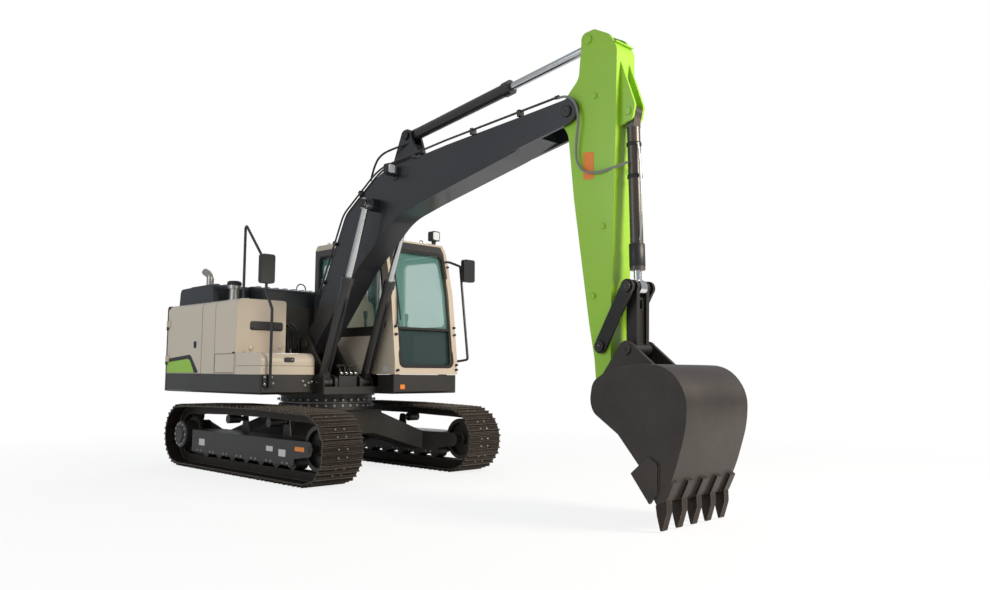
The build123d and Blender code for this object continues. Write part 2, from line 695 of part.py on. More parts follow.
with BuildPart() as upper_frame:
    with BuildSketch(level(DECK_BOTTOM)):
        make_face(outline(*DECK_CORNERS))
    extrude(amount=SKIRT_TOP - DECK_BOTTOM)
    for side_y, inward in ((LEFT_SIDE, -1), (RIGHT_SIDE, 1)):
        with BuildSketch(across(DECK_REAR - 1)):
            make_face(outline(*bevel_corners(side_y, inward)))
        extrude(amount=LEFT_DECK_FRONT - DECK_REAR + 2, mode=Mode.SUBTRACT)
    for front_x, from_y, to_y in (
        (LEFT_DECK_FRONT, LEFT_SIDE + 1, CHANNEL_LEFT - 1),
        (RIGHT_DECK_FRONT, CHANNEL_RIGHT, RIGHT_SIDE - 1),
    ):
        with BuildSketch(side(from_y)):
            make_face(outline(*bevel_corners(front_x, -1)))
        extrude(amount=from_y - to_y, mode=Mode.SUBTRACT)
    with BuildSketch(level(DECK_BOTTOM + DECK_PLATE)):
        make_face(outline(*inset(DECK_CORNERS, SKIRT_PLATE)))
    extrude(amount=SKIRT_TOP - DECK_BOTTOM, mode=Mode.SUBTRACT)
    with BuildSketch(level(SKIRT_TOP, (CHANNEL_FRONT + 350) / 2, BOOM_Y + 10)):
        Rectangle(CHANNEL_FRONT - 350 + 100, CHANNEL_LEFT - CHANNEL_RIGHT - 2)
    extrude(amount=DECK_BOTTOM + DECK_PLATE + 60 - SKIRT_TOP, mode=Mode.SUBTRACT)
    with BuildSketch(level(DECK_BOTTOM - 1)):
        Circle(RACE_BORE - 60)
    extrude(amount=DECK_PLATE + 2, mode=Mode.SUBTRACT)
    for hand in (1, -1):
        inner = BOOM_Y + hand * BEAM_INNER
        left_face = max(inner, inner + hand * EAR_PLATE)
        with BuildSketch(side(left_face)):
            make_face(
                outline(
                    (-1780, DECK_BOTTOM + 5, 0),
                    (BOOM_CYL_FOOT[0] + 110, DECK_BOTTOM + 5, 0),
                    (BOOM_CYL_FOOT[0] + 110, BOOM_CYL_FOOT[1] + 70, 60),
                    (BOOM_CYL_FOOT[0] - 120, BOOM_CYL_FOOT[1] + 110, 80),
                    (BOOM_FOOT[0] + 165, BOOM_FOOT[1] - 60, 120),
                    (BOOM_FOOT[0] + 60, BOOM_FOOT[1] + 125, 90),
                    (BOOM_FOOT[0] - 110, BOOM_FOOT[1] + 110, 100),
                    (BOOM_FOOT[0] - 330, SKIRT_TOP + 80, 200),
                    (-1000, BEAM_TOP, 0),
                    (-1780, BEAM_TOP, 0),
                )
            )
        extrude(amount=EAR_PLATE)
        boss_face = BOOM_Y + hand * (BOOM_CYL_OFFSET - CYL_EYE_WIDTH / 2 - SIDE_PLAY)
        with BuildSketch(side(boss_face, BOOM_CYL_FOOT[0], BOOM_CYL_FOOT[1])):
            Circle(CYL_EYE_RADIUS + 6)
        extrude(amount=hand * (BOOM_CYL_OFFSET - CYL_EYE_WIDTH / 2 - SIDE_PLAY - BEAM_INNER))
        outer_inside = BOOM_Y + hand * (BOOM_CYL_OFFSET + CYL_EYE_WIDTH / 2 + SIDE_PLAY)
        outer_left = max(outer_inside, outer_inside + hand * 25)
        with BuildSketch(side(outer_left)):
            make_face(
                outline(
                    (BOOM_CYL_FOOT[0] - 130, DECK_BOTTOM + 5, 0),
                    (BOOM_CYL_FOOT[0] + 110, DECK_BOTTOM + 5, 0),
                    (BOOM_CYL_FOOT[0] + 70, BOOM_CYL_FOOT[1] + 78, 60),
                    (BOOM_CYL_FOOT[0] - 70, BOOM_CYL_FOOT[1] + 78, 60),
                )
            )
        extrude(amount=25)
        with BuildSketch(side(outer_inside, BOOM_CYL_FOOT[0], BOOM_CYL_FOOT[1])):
            Circle(CYL_PIN_RADIUS)
        extrude(amount=hand * (CYL_EYE_WIDTH + 2 * SIDE_PLAY + 1))
    with BuildSketch(side(BOOM_Y, BOOM_FOOT[0], BOOM_FOOT[1])):
        Circle(FOOT_PIN_RADIUS)
    extrude(amount=BEAM_INNER + EAR_PLATE + 22, both=True)
    with BuildSketch(level(DECK_BOTTOM + DECK_PLATE - 1, (CAB_REAR + CAB_FRONT) / 2, (CAB_RIGHT + CAB_LEFT) / 2)):
        with GridLocations(CAB_MOUNT_X, CAB_MOUNT_Y, 2, 2):
            Circle(CAB_MOUNT_RADIUS)
    extrude(amount=CAB_BASE - SEAT - DECK_BOTTOM - DECK_PLATE + 1)
save(upper_frame, "upper_frame")

# Counterweight: a curved tail with a pocket on its inner side and two lifting eyes
WEIGHT_SAG = WEIGHT_CORNER_X - WEIGHT_TAIL
with BuildPart() as counterweight:
    with BuildSketch(level(WEIGHT_BOTTOM)):
        with BuildLine():
            Polyline(
                (WEIGHT_CORNER_X, WEIGHT_HALF),
                (DECK_REAR - SEAT, WEIGHT_HALF),
                (DECK_REAR - SEAT, -WEIGHT_HALF),
                (WEIGHT_CORNER_X, -WEIGHT_HALF),
            )
            ThreePointArc((WEIGHT_CORNER_X, -WEIGHT_HALF), (WEIGHT_TAIL, 0), (WEIGHT_CORNER_X, WEIGHT_HALF))
        make_face()
    extrude(amount=HOUSE_TOP - WEIGHT_BOTTOM)
    fillet(counterweight.edges().filter_by(GeomType.CIRCLE).sort_by(Axis.Z)[-1], 60)
    with BuildSketch(across(DECK_REAR - SEAT, 0, (WEIGHT_BOTTOM + HOUSE_TOP) / 2)):
        RectangleRounded(2 * WEIGHT_HALF - 640, HOUSE_TOP - WEIGHT_BOTTOM - 380, 60)
    extrude(amount=-150, mode=Mode.SUBTRACT)
    with BuildSketch(level(HOUSE_TOP, LIFT_HOLE_X)):
        with Locations((0, LIFT_HOLE_Y), (0, -LIFT_HOLE_Y)):
            Circle(LIFT_HOLE_RADIUS)
    extrude(amount=-LIFT_HOLE_DEPTH, mode=Mode.SUBTRACT)
    for side_y, hand in ((LEFT_SIDE, 1), (RIGHT_SIDE, -1)):
        for hinge_z in SIDE_HINGE_HEIGHTS:
            hinge_pin(SIDE_HINGE_X, side_y + hand * SIDE_HINGE_OUT, hinge_z)
            with BuildSketch(level(hinge_z - SEAT, DOOR_REAR - 12.5, side_y + hand * 2)):
                Rectangle(15, 28)
            extrude(amount=-HINGE_FOOT)
save(counterweight, "counterweight")


# Boom
BOOM_CORNERS = (
    (BOOM_FOOT[0] - 95, BOOM_FOOT[1] - 40, 30),
    (BOOM_FOOT[0] - 85, BOOM_FOOT[1] + 85, 60),
    (165, 1800, 300),
    (790, 3000, 260),
    (1450, 3425, 700),
    (2560, 3525, 1200),
    (BOOM_END_X, 3606, 0),
    (BOOM_END_X, 3345, 0),
    (3400, 3235, 1500),
    (2200, 2990, 1500),
    (1700, 2870, 800),
    (1020, 2345, 500),
    (BOOM_FOOT[0] + 60, BOOM_FOOT[1] - 115, 40),
)
with BuildPart() as boom:
    with BuildSketch(side(BOOM_Y)):
        make_face(outline(*BOOM_CORNERS))
    extrude(amount=BOOM_WIDTH / 2, both=True)
    with BuildSketch(side(BOOM_Y)):
        make_face(outline(*inset(BOOM_CORNERS, BOOM_CHORD_PLATE)))
    extrude(amount=BOOM_WIDTH / 2 - BOOM_SIDE_PLATE, both=True, mode=Mode.SUBTRACT)
    with BuildSketch(side(BOOM_Y, BOOM_FOOT[0], BOOM_FOOT[1])):
        Circle(FOOT_BOSS_RADIUS)
    extrude(amount=BOOM_WIDTH / 2, both=True)
    with BuildSketch(side(BOOM_Y, BOOM_FOOT[0], BOOM_FOOT[1])):
        Circle(FOOT_PIN_RADIUS + RUN)
    extrude(amount=BOOM_WIDTH, both=True, mode=Mode.SUBTRACT)
    for hand in (1, -1):
        outer_face = BOOM_Y + hand * FORK_WIDTH / 2
        left_face = max(outer_face, outer_face - hand * FORK_PLATE)
        with BuildSketch(side(left_face)):
            make_face(
                outline(
                    (3480, 3265, 0),
                    (BOOM_TIP[0] + 20, BOOM_TIP[1] - TIP_BOSS_RADIUS, 0),
                    (BOOM_TIP[0] + 20, BOOM_TIP[1] + TIP_BOSS_RADIUS - 1, 0),
                    (3480, 3573, 0),
                )
            )
            with Locations(BOOM_TIP):
                Circle(TIP_BOSS_RADIUS)
        extrude(amount=FORK_PLATE)
    with BuildSketch(side(BOOM_Y, BOOM_TIP[0], BOOM_TIP[1])):
        Circle(TIP_PIN_RADIUS)
    extrude(amount=FORK_WIDTH / 2 + 18, both=True)
    with BuildSketch(side(BOOM_Y, BOOM_CYL_EYE[0], BOOM_CYL_EYE[1])):
        Circle(CYL_EYE_RADIUS + 8)
    extrude(amount=BOOM_CYL_OFFSET - CYL_EYE_WIDTH / 2 - SIDE_PLAY, both=True)
    for hand in (1, -1):
        inside = BOOM_Y + hand * (CYL_EYE_WIDTH / 2 + SIDE_PLAY)
        left_face = max(inside, inside + hand * 30)
        with BuildSketch(side(left_face)):
            make_face(
                outline(
                    (ARM_CYL_FOOT[0] - 250, 3440, 0),
                    (ARM_CYL_FOOT[0] + 210, 3470, 0),
                    (ARM_CYL_FOOT[0] + 62, ARM_CYL_FOOT[1] + 70, 62),
                    (ARM_CYL_FOOT[0] - 62, ARM_CYL_FOOT[1] + 70, 62),
                )
            )
        extrude(amount=30)
    with BuildSketch(side(BOOM_Y, ARM_CYL_FOOT[0], ARM_CYL_FOOT[1])):
        Circle(CYL_PIN_RADIUS)
    extrude(amount=CYL_EYE_WIDTH / 2 + SIDE_PLAY + 30 + 10, both=True)
save(boom, "boom")


def along_line(start, end, travel, rise):
    """Point this far along a straight line and this far square off its left side."""
    length = distance(start, end)
    ahead = ((end[0] - start[0]) / length, (end[1] - start[1]) / length)
    return (start[0] + ahead[0] * travel - ahead[1] * rise, start[1] + ahead[1] * travel + ahead[0] * rise)


# Hydraulic tubes clipped along the top of the boom
BOOM_TOP_LINE = [(x, z) for x, z, _ in BOOM_CORNERS[2:7]]
TUBE_LINE = [(x, z, bend) for x, z, bend in inset(BOOM_CORNERS, -TUBE_RISE)[3:6]]
TUBE_START = along_line(BOOM_TOP_LINE[0], BOOM_TOP_LINE[1], TUBE_FROM, TUBE_RISE)
LONG_TUBE_END = along_line(BOOM_TOP_LINE[3], BOOM_TOP_LINE[4], LONG_TUBE_REACH, TUBE_RISE)
SHORT_TUBE_END = along_line(BOOM_TOP_LINE[2], BOOM_TOP_LINE[3], SHORT_TUBE_REACH, TUBE_RISE)
with BuildPart() as boom_tubes:
    for hand in (1, -1):
        for offset, bends, end in (
            (LONG_TUBE_OFFSET, TUBE_LINE, LONG_TUBE_END),
            (SHORT_TUBE_OFFSET, TUBE_LINE[:2], SHORT_TUBE_END),
        ):
            with BuildLine(side(BOOM_Y + hand * offset)) as tube_path:
                FilletPolyline(
                    TUBE_START,
                    *[(x, z) for x, z, _ in bends],
                    end,
                    radius=[bend for _, _, bend in bends],
                )
            tube_heading = tube_path.line % 0
            with BuildSketch(Plane(origin=tube_path.line @ 0, z_dir=tube_heading)):
                Circle(TUBE_RADIUS)
            sweep(path=tube_path.line)
            with BuildSketch(Plane(origin=tube_path.line @ 1, z_dir=tube_path.line % 1)):
                Circle(TUBE_RADIUS + 6)
            extrude(amount=-TUBE_NUT)
        for segment, travel, width in TUBE_CLAMPS:
            start, end = BOOM_TOP_LINE[segment], BOOM_TOP_LINE[segment + 1]
            inner, outer = (SHORT_TUBE_OFFSET - 24, LONG_TUBE_OFFSET + 18) if width else (BOOM_WIDTH / 2 - 30, LONG_TUBE_OFFSET + 18)
            inner_y = BOOM_Y + hand * inner
            outer_y = BOOM_Y + hand * outer
            with BuildSketch(side(max(inner_y, outer_y))):
                make_face(
                    outline(
                        (*along_line(start, end, travel - CLAMP_HALF, SEAT), 0),
                        (*along_line(start, end, travel + CLAMP_HALF, SEAT), 0),
                        (*along_line(start, end, travel + CLAMP_HALF, TUBE_RISE + 18), 6),
                        (*along_line(start, end, travel - CLAMP_HALF, TUBE_RISE + 18), 6),
                    )
                )
            extrude(amount=outer - inner)
save(boom_tubes, "boom_tubes")

# Work lamp on the boom's right side
with BuildPart() as boom_lamp:
    with BuildSketch(across(*BOOM_LAMP)):
        RectangleRounded(LAMP_WIDTH, LAMP_WIDTH, 18)
    extrude(amount=-LAMP_DEPTH)
    lamp_wall = BOOM_Y - BOOM_WIDTH / 2 - SEAT
    with BuildSketch(side(lamp_wall, BOOM_LAMP[0] - LAMP_DEPTH / 2, BOOM_LAMP[2] - LAMP_WIDTH / 2 - 8)):
        Rectangle(LAMP_DEPTH, 12)
    extrude(amount=lamp_wall - BOOM_LAMP[1] + 25)
    with BuildSketch(side(lamp_wall, BOOM_LAMP[0] - LAMP_DEPTH / 2, BOOM_LAMP[2] - LAMP_WIDTH / 2 - 30)):
        Rectangle(LAMP_DEPTH, 50)
    extrude(amount=8)
    with BuildSketch(level(BOOM_LAMP[2] - LAMP_WIDTH / 2 - 8, BOOM_LAMP[0] - LAMP_DEPTH / 2, BOOM_LAMP[1])):
        Rectangle(24, 24)
    extrude(amount=20)
save(boom_lamp, "boom_lamp")


# Cylinders: a tube with its foot eye and gland, and a rod with its piston and eye
def cross_plane(plane, along):
    """Plane square to a cylinder's axis, this far from its foot pin."""
    return Plane(origin=plane.origin + plane.x_dir * along, x_dir=(0, 1, 0), z_dir=plane.x_dir)


CYLINDERS = (
    (
        "boom_cylinder",
        BOOM_CYL_FOOT,
        BOOM_CYL_EYE,
        (BOOM_Y - BOOM_CYL_OFFSET, BOOM_Y + BOOM_CYL_OFFSET),
        BOOM_CYL_TUBE,
        BOOM_CYL_RADIUS,
        BOOM_ROD_RADIUS,
        BOOM_CYL_CLOSED,
    ),
    (
        "arm_cylinder",
        ARM_CYL_FOOT,
        ARM_CYL_EYE,
        (BOOM_Y,),
        ARM_CYL_TUBE,
        ARM_CYL_RADIUS,
        ARM_ROD_RADIUS,
        ARM_CYL_CLOSED,
    ),
    (
        "bucket_cylinder",
        BUCKET_CYL_FOOT,
        BUCKET_CYL_EYE,
        (BOOM_Y,),
        BUCKET_CYL_TUBE,
        BUCKET_CYL_RADIUS,
        BUCKET_ROD_RADIUS,
        BUCKET_CYL_CLOSED,
    ),
)
for name, foot, eye, sides_y, length, radius, rod_radius, closed in CYLINDERS:
    bore_start = CYL_NECK + CYL_HEAD
    with BuildPart() as tube:
        for y in sides_y:
            plane = cylinder_plane(foot, eye, y)
            with BuildSketch(cross_plane(plane, CYL_NECK)):
                Circle(radius)
            extrude(amount=length - CYL_NECK)
            with BuildSketch(cross_plane(plane, 0)):
                Rectangle(CYL_EYE_WIDTH, 1.5 * radius)
            extrude(amount=CYL_NECK + 1)
            with BuildSketch(cross_plane(plane, length - GLAND_LENGTH)):
                Circle(radius + GLAND_EXTRA)
            extrude(amount=GLAND_LENGTH)
            with BuildSketch(plane):
                Circle(CYL_EYE_RADIUS)
            extrude(amount=CYL_EYE_WIDTH / 2, both=True)
            with BuildSketch(cross_plane(plane, bore_start)):
                Circle(radius - CYL_WALL)
            extrude(amount=length - bore_start - GLAND_LENGTH, mode=Mode.SUBTRACT)
            with BuildSketch(cross_plane(plane, length - GLAND_LENGTH)):
                Circle(rod_radius + RUN)
            extrude(amount=GLAND_LENGTH, mode=Mode.SUBTRACT)
            with BuildSketch(plane):
                Circle(CYL_PIN_RADIUS + RUN)
            extrude(amount=CYL_EYE_WIDTH, both=True, mode=Mode.SUBTRACT)
    save(tube, f"{name}_tube")
    reach = distance(foot, eye)
    rod_start = reach - closed + bore_start
    with BuildPart() as rod:
        for y in sides_y:
            plane = cylinder_plane(foot, eye, y)
            with BuildSketch(cross_plane(plane, rod_start)):
                Circle(rod_radius)
            extrude(amount=reach - rod_start)
            with BuildSketch(cross_plane(plane, rod_start)):
                Circle(radius - CYL_WALL - SEAT)
            extrude(amount=PISTON_LENGTH)
            with BuildSketch(Plane(origin=at(eye[0], y, eye[1]), x_dir=plane.x_dir, z_dir=plane.z_dir)):
                Circle(CYL_EYE_RADIUS)
            extrude(amount=CYL_EYE_WIDTH / 2, both=True)
            if len(sides_y) > 1:
                outward = 1 if y > BOOM_Y else -1
                with BuildSketch(side(y, eye[0], eye[1])):
                    Circle(CYL_PIN_RADIUS + 6)
                extrude(amount=-outward * (CYL_EYE_WIDTH / 2 + 12))
    save(rod, f"{name}_rod")

# Arm
ARM_CORNERS = (
    (4330, 4060, 60),
    (4335, 4190, 60),
    (4480, 4200, 70),
    (4640, 4110, 90),
    (4722, 3970, 120),
    (4700, 3240, 600),
    (4668, 2500, 0),
    (4645, 1970, 600),
    (4625, 1420, 60),
    (4640, 1040, 60),
    (4480, 1000, 60),
    (4455, 1300, 0),
    (4400, 1600, 400),
    (4240, 2700, 600),
    (4175, 3330, 200),
    (4110, 3390, 60),
    (4090, 3590, 90),
    (4300, 3790, 120),
)
ARM_SLOT = CYL_EYE_WIDTH / 2 + SIDE_PLAY
SLOT_FLOOR = ARM_CYL_EYE[1] - 200
with BuildPart() as arm:
    with BuildSketch(side(BOOM_Y)):
        make_face(outline(*ARM_CORNERS))
    extrude(amount=ARM_WIDTH / 2, both=True)
    with BuildSketch(side(BOOM_Y)):
        make_face(outline(*inset(ARM_CORNERS, ARM_PLATE)))
    extrude(amount=ARM_WIDTH / 2 - ARM_PLATE, both=True, mode=Mode.SUBTRACT)
    with BuildSketch(side(BOOM_Y)):
        with Locations(BOOM_TIP):
            Circle(TIP_BOSS_RADIUS - 20)
        with Locations(IDLER_PIN):
            Circle(IDLER_BOSS_RADIUS)
        with Locations(BUCKET_PIN):
            Circle(ARM_BOSS_RADIUS)
    extrude(amount=ARM_WIDTH / 2, both=True)
    with BuildSketch(side(BOOM_Y)):
        with Locations(BOOM_TIP):
            Circle(TIP_PIN_RADIUS + RUN)
        with Locations(BUCKET_PIN):
            Circle(CYL_PIN_RADIUS + RUN)
    extrude(amount=ARM_WIDTH, both=True, mode=Mode.SUBTRACT)
    with BuildSketch(side(BOOM_Y)):
        make_face(outline(*box_corners(4200, 4800, ARM_CYL_EYE[1] - 85, 4300)))
        make_face(outline(*box_corners(4200, 4535, SLOT_FLOOR, 4300)))
    extrude(amount=ARM_WIDTH / 2 - 30, both=True, mode=Mode.SUBTRACT)
    with BuildSketch(side(BOOM_Y)):
        make_face(outline(*box_corners(4535, 4715, ARM_CYL_EYE[1] - 97, ARM_CYL_EYE[1] - 85)))
        make_face(outline(*box_corners(4315, 4547, SLOT_FLOOR - 12, SLOT_FLOOR)))
        make_face(outline(*box_corners(4535, 4547, SLOT_FLOOR - 12, ARM_CYL_EYE[1] - 85)))
    extrude(amount=ARM_WIDTH / 2 - 5, both=True)
    for hand in (1, -1):
        with BuildSketch(side(BOOM_Y + hand * ARM_WIDTH / 2, ARM_CYL_EYE[0], ARM_CYL_EYE[1])):
            Circle(CYL_EYE_RADIUS)
        extrude(amount=hand * (ARM_WIDTH / 2 - ARM_SLOT))
        with BuildSketch(side(BOOM_Y + hand * ARM_WIDTH / 2, ARM_CYL_EYE[0], ARM_CYL_EYE[1])):
            Circle(CYL_PIN_RADIUS + 8)
        extrude(amount=-hand * 14)
        inside = BOOM_Y + hand * ARM_SLOT
        left_face = max(inside, inside + hand * 25)
        with BuildSketch(side(left_face)):
            make_face(
                outline(
                    (4690, 3290, 0),
                    (BUCKET_CYL_FOOT[0] + 45, BUCKET_CYL_FOOT[1] - 75, 60),
                    (BUCKET_CYL_FOOT[0] + 72, BUCKET_CYL_FOOT[1] + 45, 60),
                    (4712, 3880, 0),
                    (4690, 3880, 0),
                )
            )
        extrude(amount=25)
        with BuildSketch(side(BOOM_Y + hand * (ARM_WIDTH / 2 - 1))):
            with Locations(*ARM_BOSSES):
                Circle(ARM_BOSS)
        extrude(amount=-hand * (ARM_BOSS_HEIGHT + 1))
    with BuildSketch(side(BOOM_Y, BUCKET_CYL_FOOT[0], BUCKET_CYL_FOOT[1])):
        Circle(CYL_PIN_RADIUS)
    extrude(amount=ARM_SLOT + 25 + 10, both=True)
    with BuildSketch(side(BOOM_Y, IDLER_PIN[0], IDLER_PIN[1])):
        Circle(CYL_PIN_RADIUS)
    extrude(amount=ARM_WIDTH / 2 + SIDE_PLAY + IDLER_PLATE + 12, both=True)
save(arm, "arm")

# Idler links: two curved plates with the pins that carry the bucket link
IDLER_IN = ARM_WIDTH / 2 + SIDE_PLAY
LINK_IN = CYL_EYE_WIDTH / 2 + SIDE_PLAY
LINK_PLATE = 38.0
LINK_WEB_TOP = 1700.0
LIFT_EYE_WIDTH = 78.0
LIFT_EYE_HEIGHT = 112.0
LIFT_EYE_BAR = 16.0
with BuildPart() as idler_links:
    for hand in (1, -1):
        inside = BOOM_Y + hand * IDLER_IN
        left_face = max(inside, inside + hand * IDLER_PLATE)
        with BuildSketch(side(left_face)):
            with Locations(IDLER_PIN, BUCKET_CYL_EYE):
                Circle(IDLER_BOSS_RADIUS)
            make_face(
                outline(
                    (IDLER_PIN[0] - 58, IDLER_PIN[1] + 20, 0),
                    (IDLER_PIN[0] + 58, IDLER_PIN[1] - 20, 0),
                    (BUCKET_CYL_EYE[0] + 58, BUCKET_CYL_EYE[1] - 20, 0),
                    (BUCKET_CYL_EYE[0] - 58, BUCKET_CYL_EYE[1] + 20, 0),
                )
            )
            with Locations(IDLER_PIN):
                Circle(CYL_PIN_RADIUS + RUN, mode=Mode.SUBTRACT)
        extrude(amount=IDLER_PLATE)
        with BuildSketch(side(BOOM_Y + hand * (IDLER_IN + IDLER_PLATE + 12), *BUCKET_CYL_EYE)):
            Circle(CYL_PIN_RADIUS)
        extrude(amount=hand * (IDLER_IN + IDLER_PLATE + 12 - LINK_IN))
save(idler_links, "idler_links")

# Bucket link: two cheeks on the rod pin joined by a web and the lower boss
with BuildPart() as bucket_link:
    for hand in (1, -1):
        inside = BOOM_Y + hand * LINK_IN
        left_face = max(inside, inside + hand * LINK_PLATE)
        with BuildSketch(side(left_face)):
            with Locations(BUCKET_CYL_EYE, LINK_PIN):
                Circle(LINK_BOSS_RADIUS - 1)
            make_face(
                outline(
                    (BUCKET_CYL_EYE[0] - 52, BUCKET_CYL_EYE[1] - 15, 0),
                    (BUCKET_CYL_EYE[0] + 52, BUCKET_CYL_EYE[1] - 15, 0),
                    (LINK_PIN[0] + 52, LINK_PIN[1] + 15, 0),
                    (LINK_PIN[0] - 52, LINK_PIN[1] + 15, 0),
                )
            )
            with Locations(BUCKET_CYL_EYE):
                Circle(CYL_PIN_RADIUS + RUN, mode=Mode.SUBTRACT)
        extrude(amount=LINK_PLATE)
    with BuildSketch(side(BOOM_Y, LINK_PIN[0], LINK_PIN[1])):
        Circle(LINK_BOSS_RADIUS)
    extrude(amount=ARM_WIDTH / 2, both=True)
    with BuildSketch(side(BOOM_Y)):
        make_face(outline(*box_corners(LINK_PIN[0] - 40, LINK_PIN[0] + 30, LINK_PIN[1], LINK_WEB_TOP, 0)))
    extrude(amount=LINK_IN + 10, both=True)
    with BuildSketch(across(LINK_PIN[0] + 20, BOOM_Y, LINK_WEB_TOP + LIFT_EYE_HEIGHT / 2 - 10)):
        RectangleRounded(LIFT_EYE_WIDTH, LIFT_EYE_HEIGHT, 30)
        RectangleRounded(LIFT_EYE_WIDTH - 2 * LIFT_EYE_BAR, LIFT_EYE_HEIGHT - 2 * LIFT_EYE_BAR, 15, mode=Mode.SUBTRACT)
    extrude(amount=LIFT_EYE_BAR)
save(bucket_link, "bucket_link")

# Bucket: side plates, wrapped sheet, hinge ears, lip and side cutters
LIP_REAR = (5275, 200)
LIP_FRONT = (5330, 225)
BUCKET_CORNERS = (
    (4655, 950, 200),
    (4685, 1110, 120),
    (4860, 1205, 600),
    (5090, 1250, 900),
    (5400, 1235, 300),
    (5552, 1020, 300),
    (5545, 780, 900),
    (5440, 450, 1200),
    (*LIP_FRONT, 0),
    (*LIP_REAR, 0),
    (5120, 480, 60),
    (4930, 700, 60),
    (4690, 860, 120),
)
CUTTER_CORNERS = (
    (5060, 415, 8),
    (5228, 198, 8),
    (5290, 290, 0),
    (5300, 500, 30),
    (5218, 550, 12),
)
EAR_IN = ARM_WIDTH / 2 + SIDE_PLAY
TOOTH_PLACES = [
    BOOM_Y - TOOTH_SPREAD / 2 + index * TOOTH_SPREAD / (TOOTH_COUNT - 1) for index in range(TOOTH_COUNT)
]


def lip_height(x):
    """Height of the lip's cutting face, carried on in a straight line."""
    slope = (LIP_FRONT[1] - LIP_REAR[1]) / (LIP_FRONT[0] - LIP_REAR[0])
    return LIP_REAR[1] + (x - LIP_REAR[0]) * slope


with BuildPart() as bucket:
    with BuildSketch(side(BOOM_Y)):
        make_face(outline(*BUCKET_CORNERS))
    extrude(amount=BUCKET_LIP_WIDTH / 2, both=True)
    with BuildSketch(side(BOOM_Y)):
        make_face(outline(*inset(BUCKET_CORNERS, BUCKET_SHEET)))
        make_face(
            outline(
                (5100, 200, 0),
                (5288, 232, 0),
                (5190, 520, 0),
                (4980, 800, 0),
                (4760, 930, 0),
                (4690, 965, 0),
                (4600, 850, 0),
                (4900, 500, 0),
            )
        )
    extrude(amount=BUCKET_LIP_WIDTH / 2 - BUCKET_SIDE, both=True, mode=Mode.SUBTRACT)
    for hand in (1, -1):
        inside = BOOM_Y + hand * EAR_IN
        left_face = max(inside, inside + hand * BUCKET_EAR_PLATE)
        with BuildSketch(side(left_face)):
            with Locations(BUCKET_PIN, LINK_PIN):
                Circle(BUCKET_BOSS_RADIUS)
            make_face(
                outline(
                    (BUCKET_PIN[0] - 30, BUCKET_PIN[1] - 65, 0),
                    (4640, 1000, 0),
                    (4700, 1150, 0),
                    (5080, 1240, 0),
                    (LINK_PIN[0] + 50, LINK_PIN[1] + 50, 0),
                    (LINK_PIN[0] - 60, LINK_PIN[1] + 40, 0),
                    (BUCKET_PIN[0] - 40, BUCKET_PIN[1] + 60, 0),
                )
            )
        extrude(amount=BUCKET_EAR_PLATE)
        for pin in (BUCKET_PIN, LINK_PIN):
            with BuildSketch(side(BOOM_Y + hand * (EAR_IN + BUCKET_EAR_PLATE), *pin)):
                Circle(CYL_PIN_RADIUS + 14)
            extrude(amount=-hand * 16)
        cutter_face = BOOM_Y + hand * (BUCKET_LIP_WIDTH / 2 - 1)
        with BuildSketch(side(max(cutter_face, cutter_face + hand * CUTTER_PLATE))):
            make_face(outline(*CUTTER_CORNERS))
        extrude(amount=CUTTER_PLATE)
    with BuildSketch(side(BOOM_Y, *BUCKET_PIN)):
        Circle(CYL_PIN_RADIUS)
    extrude(amount=EAR_IN + 1, both=True)
    for tooth_y in TOOTH_PLACES:
        with BuildSketch(side(tooth_y)):
            make_face(
                outline(
                    (LIP_FRONT[0] - 8, lip_height(LIP_FRONT[0] - 8), 0),
                    (LIP_FRONT[0] + ADAPTER_PLATE, lip_height(LIP_FRONT[0] + ADAPTER_PLATE), 0),
                    (5430, 372, 14),
                    (5398, 386, 0),
                )
            )
        extrude(amount=ADAPTER_HALF, both=True)
save(bucket, "bucket")

with BuildPart() as bucket_teeth:
    for tooth_y in TOOTH_PLACES:
        with BuildSketch(side(tooth_y)):
            make_face(
                outline(
                    (TOOTH_REAR, lip_height(TOOTH_REAR) - TOOTH_SEAT, 0),
                    (TOOTH_REAR + 10, 120, 60),
                    (TOOTH_TIP_X - 9, TOOTH_TIP_Z, 4),
                    (TOOTH_TIP_X + 9, TOOTH_TIP_Z, 4),
                    (TOOTH_FRONT + 2, 150, 60),
                    (TOOTH_FRONT, lip_height(TOOTH_FRONT) - TOOTH_SEAT, 0),
                )
            )
        extrude(amount=TOOTH_WIDTH_HALF, both=True)
save(bucket_teeth, "bucket_teeth")

# Cab: a hollow shell with its windows, door opening and roof cut out
CAB_CORNERS = (
    (CAB_REAR, CAB_BASE, 0),
    (CAB_FRONT, CAB_BASE, 0),
    (CAB_FRONT, CAB_BASE + 150, 200),
    (985, 2150, 900),
    (850, 2700, 200),
    (765, 2840, 70),
    (CAB_REAR + 50, CAB_TOP, 40),
    (CAB_REAR, CAB_TOP - 60, 50),
)
DOOR_CORNERS = (
    (CAB_DOOR_REAR, CAB_BASE + 60, 40),
    (985, CAB_BASE + 60, 60),
    (965, 1650, 200),
    (895, 2180, 500),
    (770, 2700, 120),
    (CAB_DOOR_REAR, 2715, 100),
)
RIGHT_WINDOW = ((-570, 1720, 60), (890, 1720, 60), (740, 2660, 90), (-570, 2700, 60))
REAR_LEFT_WINDOW = ((-580, 1760, 60), (CAB_DOOR_REAR - 90, 1760, 60), (CAB_DOOR_REAR - 90, 2690, 60), (-580, 2690, 60))
FRONT_WINDOW = ((CAB_RIGHT + 75, 1240), (CAB_LEFT - 75, 2690))
REAR_WINDOW = ((CAB_RIGHT + 110, 1780), (CAB_LEFT - 110, 2640))
WINDOW_SPLIT = 1705.0
CAB_HINGE_X = CAB_DOOR_REAR + 4
CAB_HINGE_Y = CAB_LEFT + 16
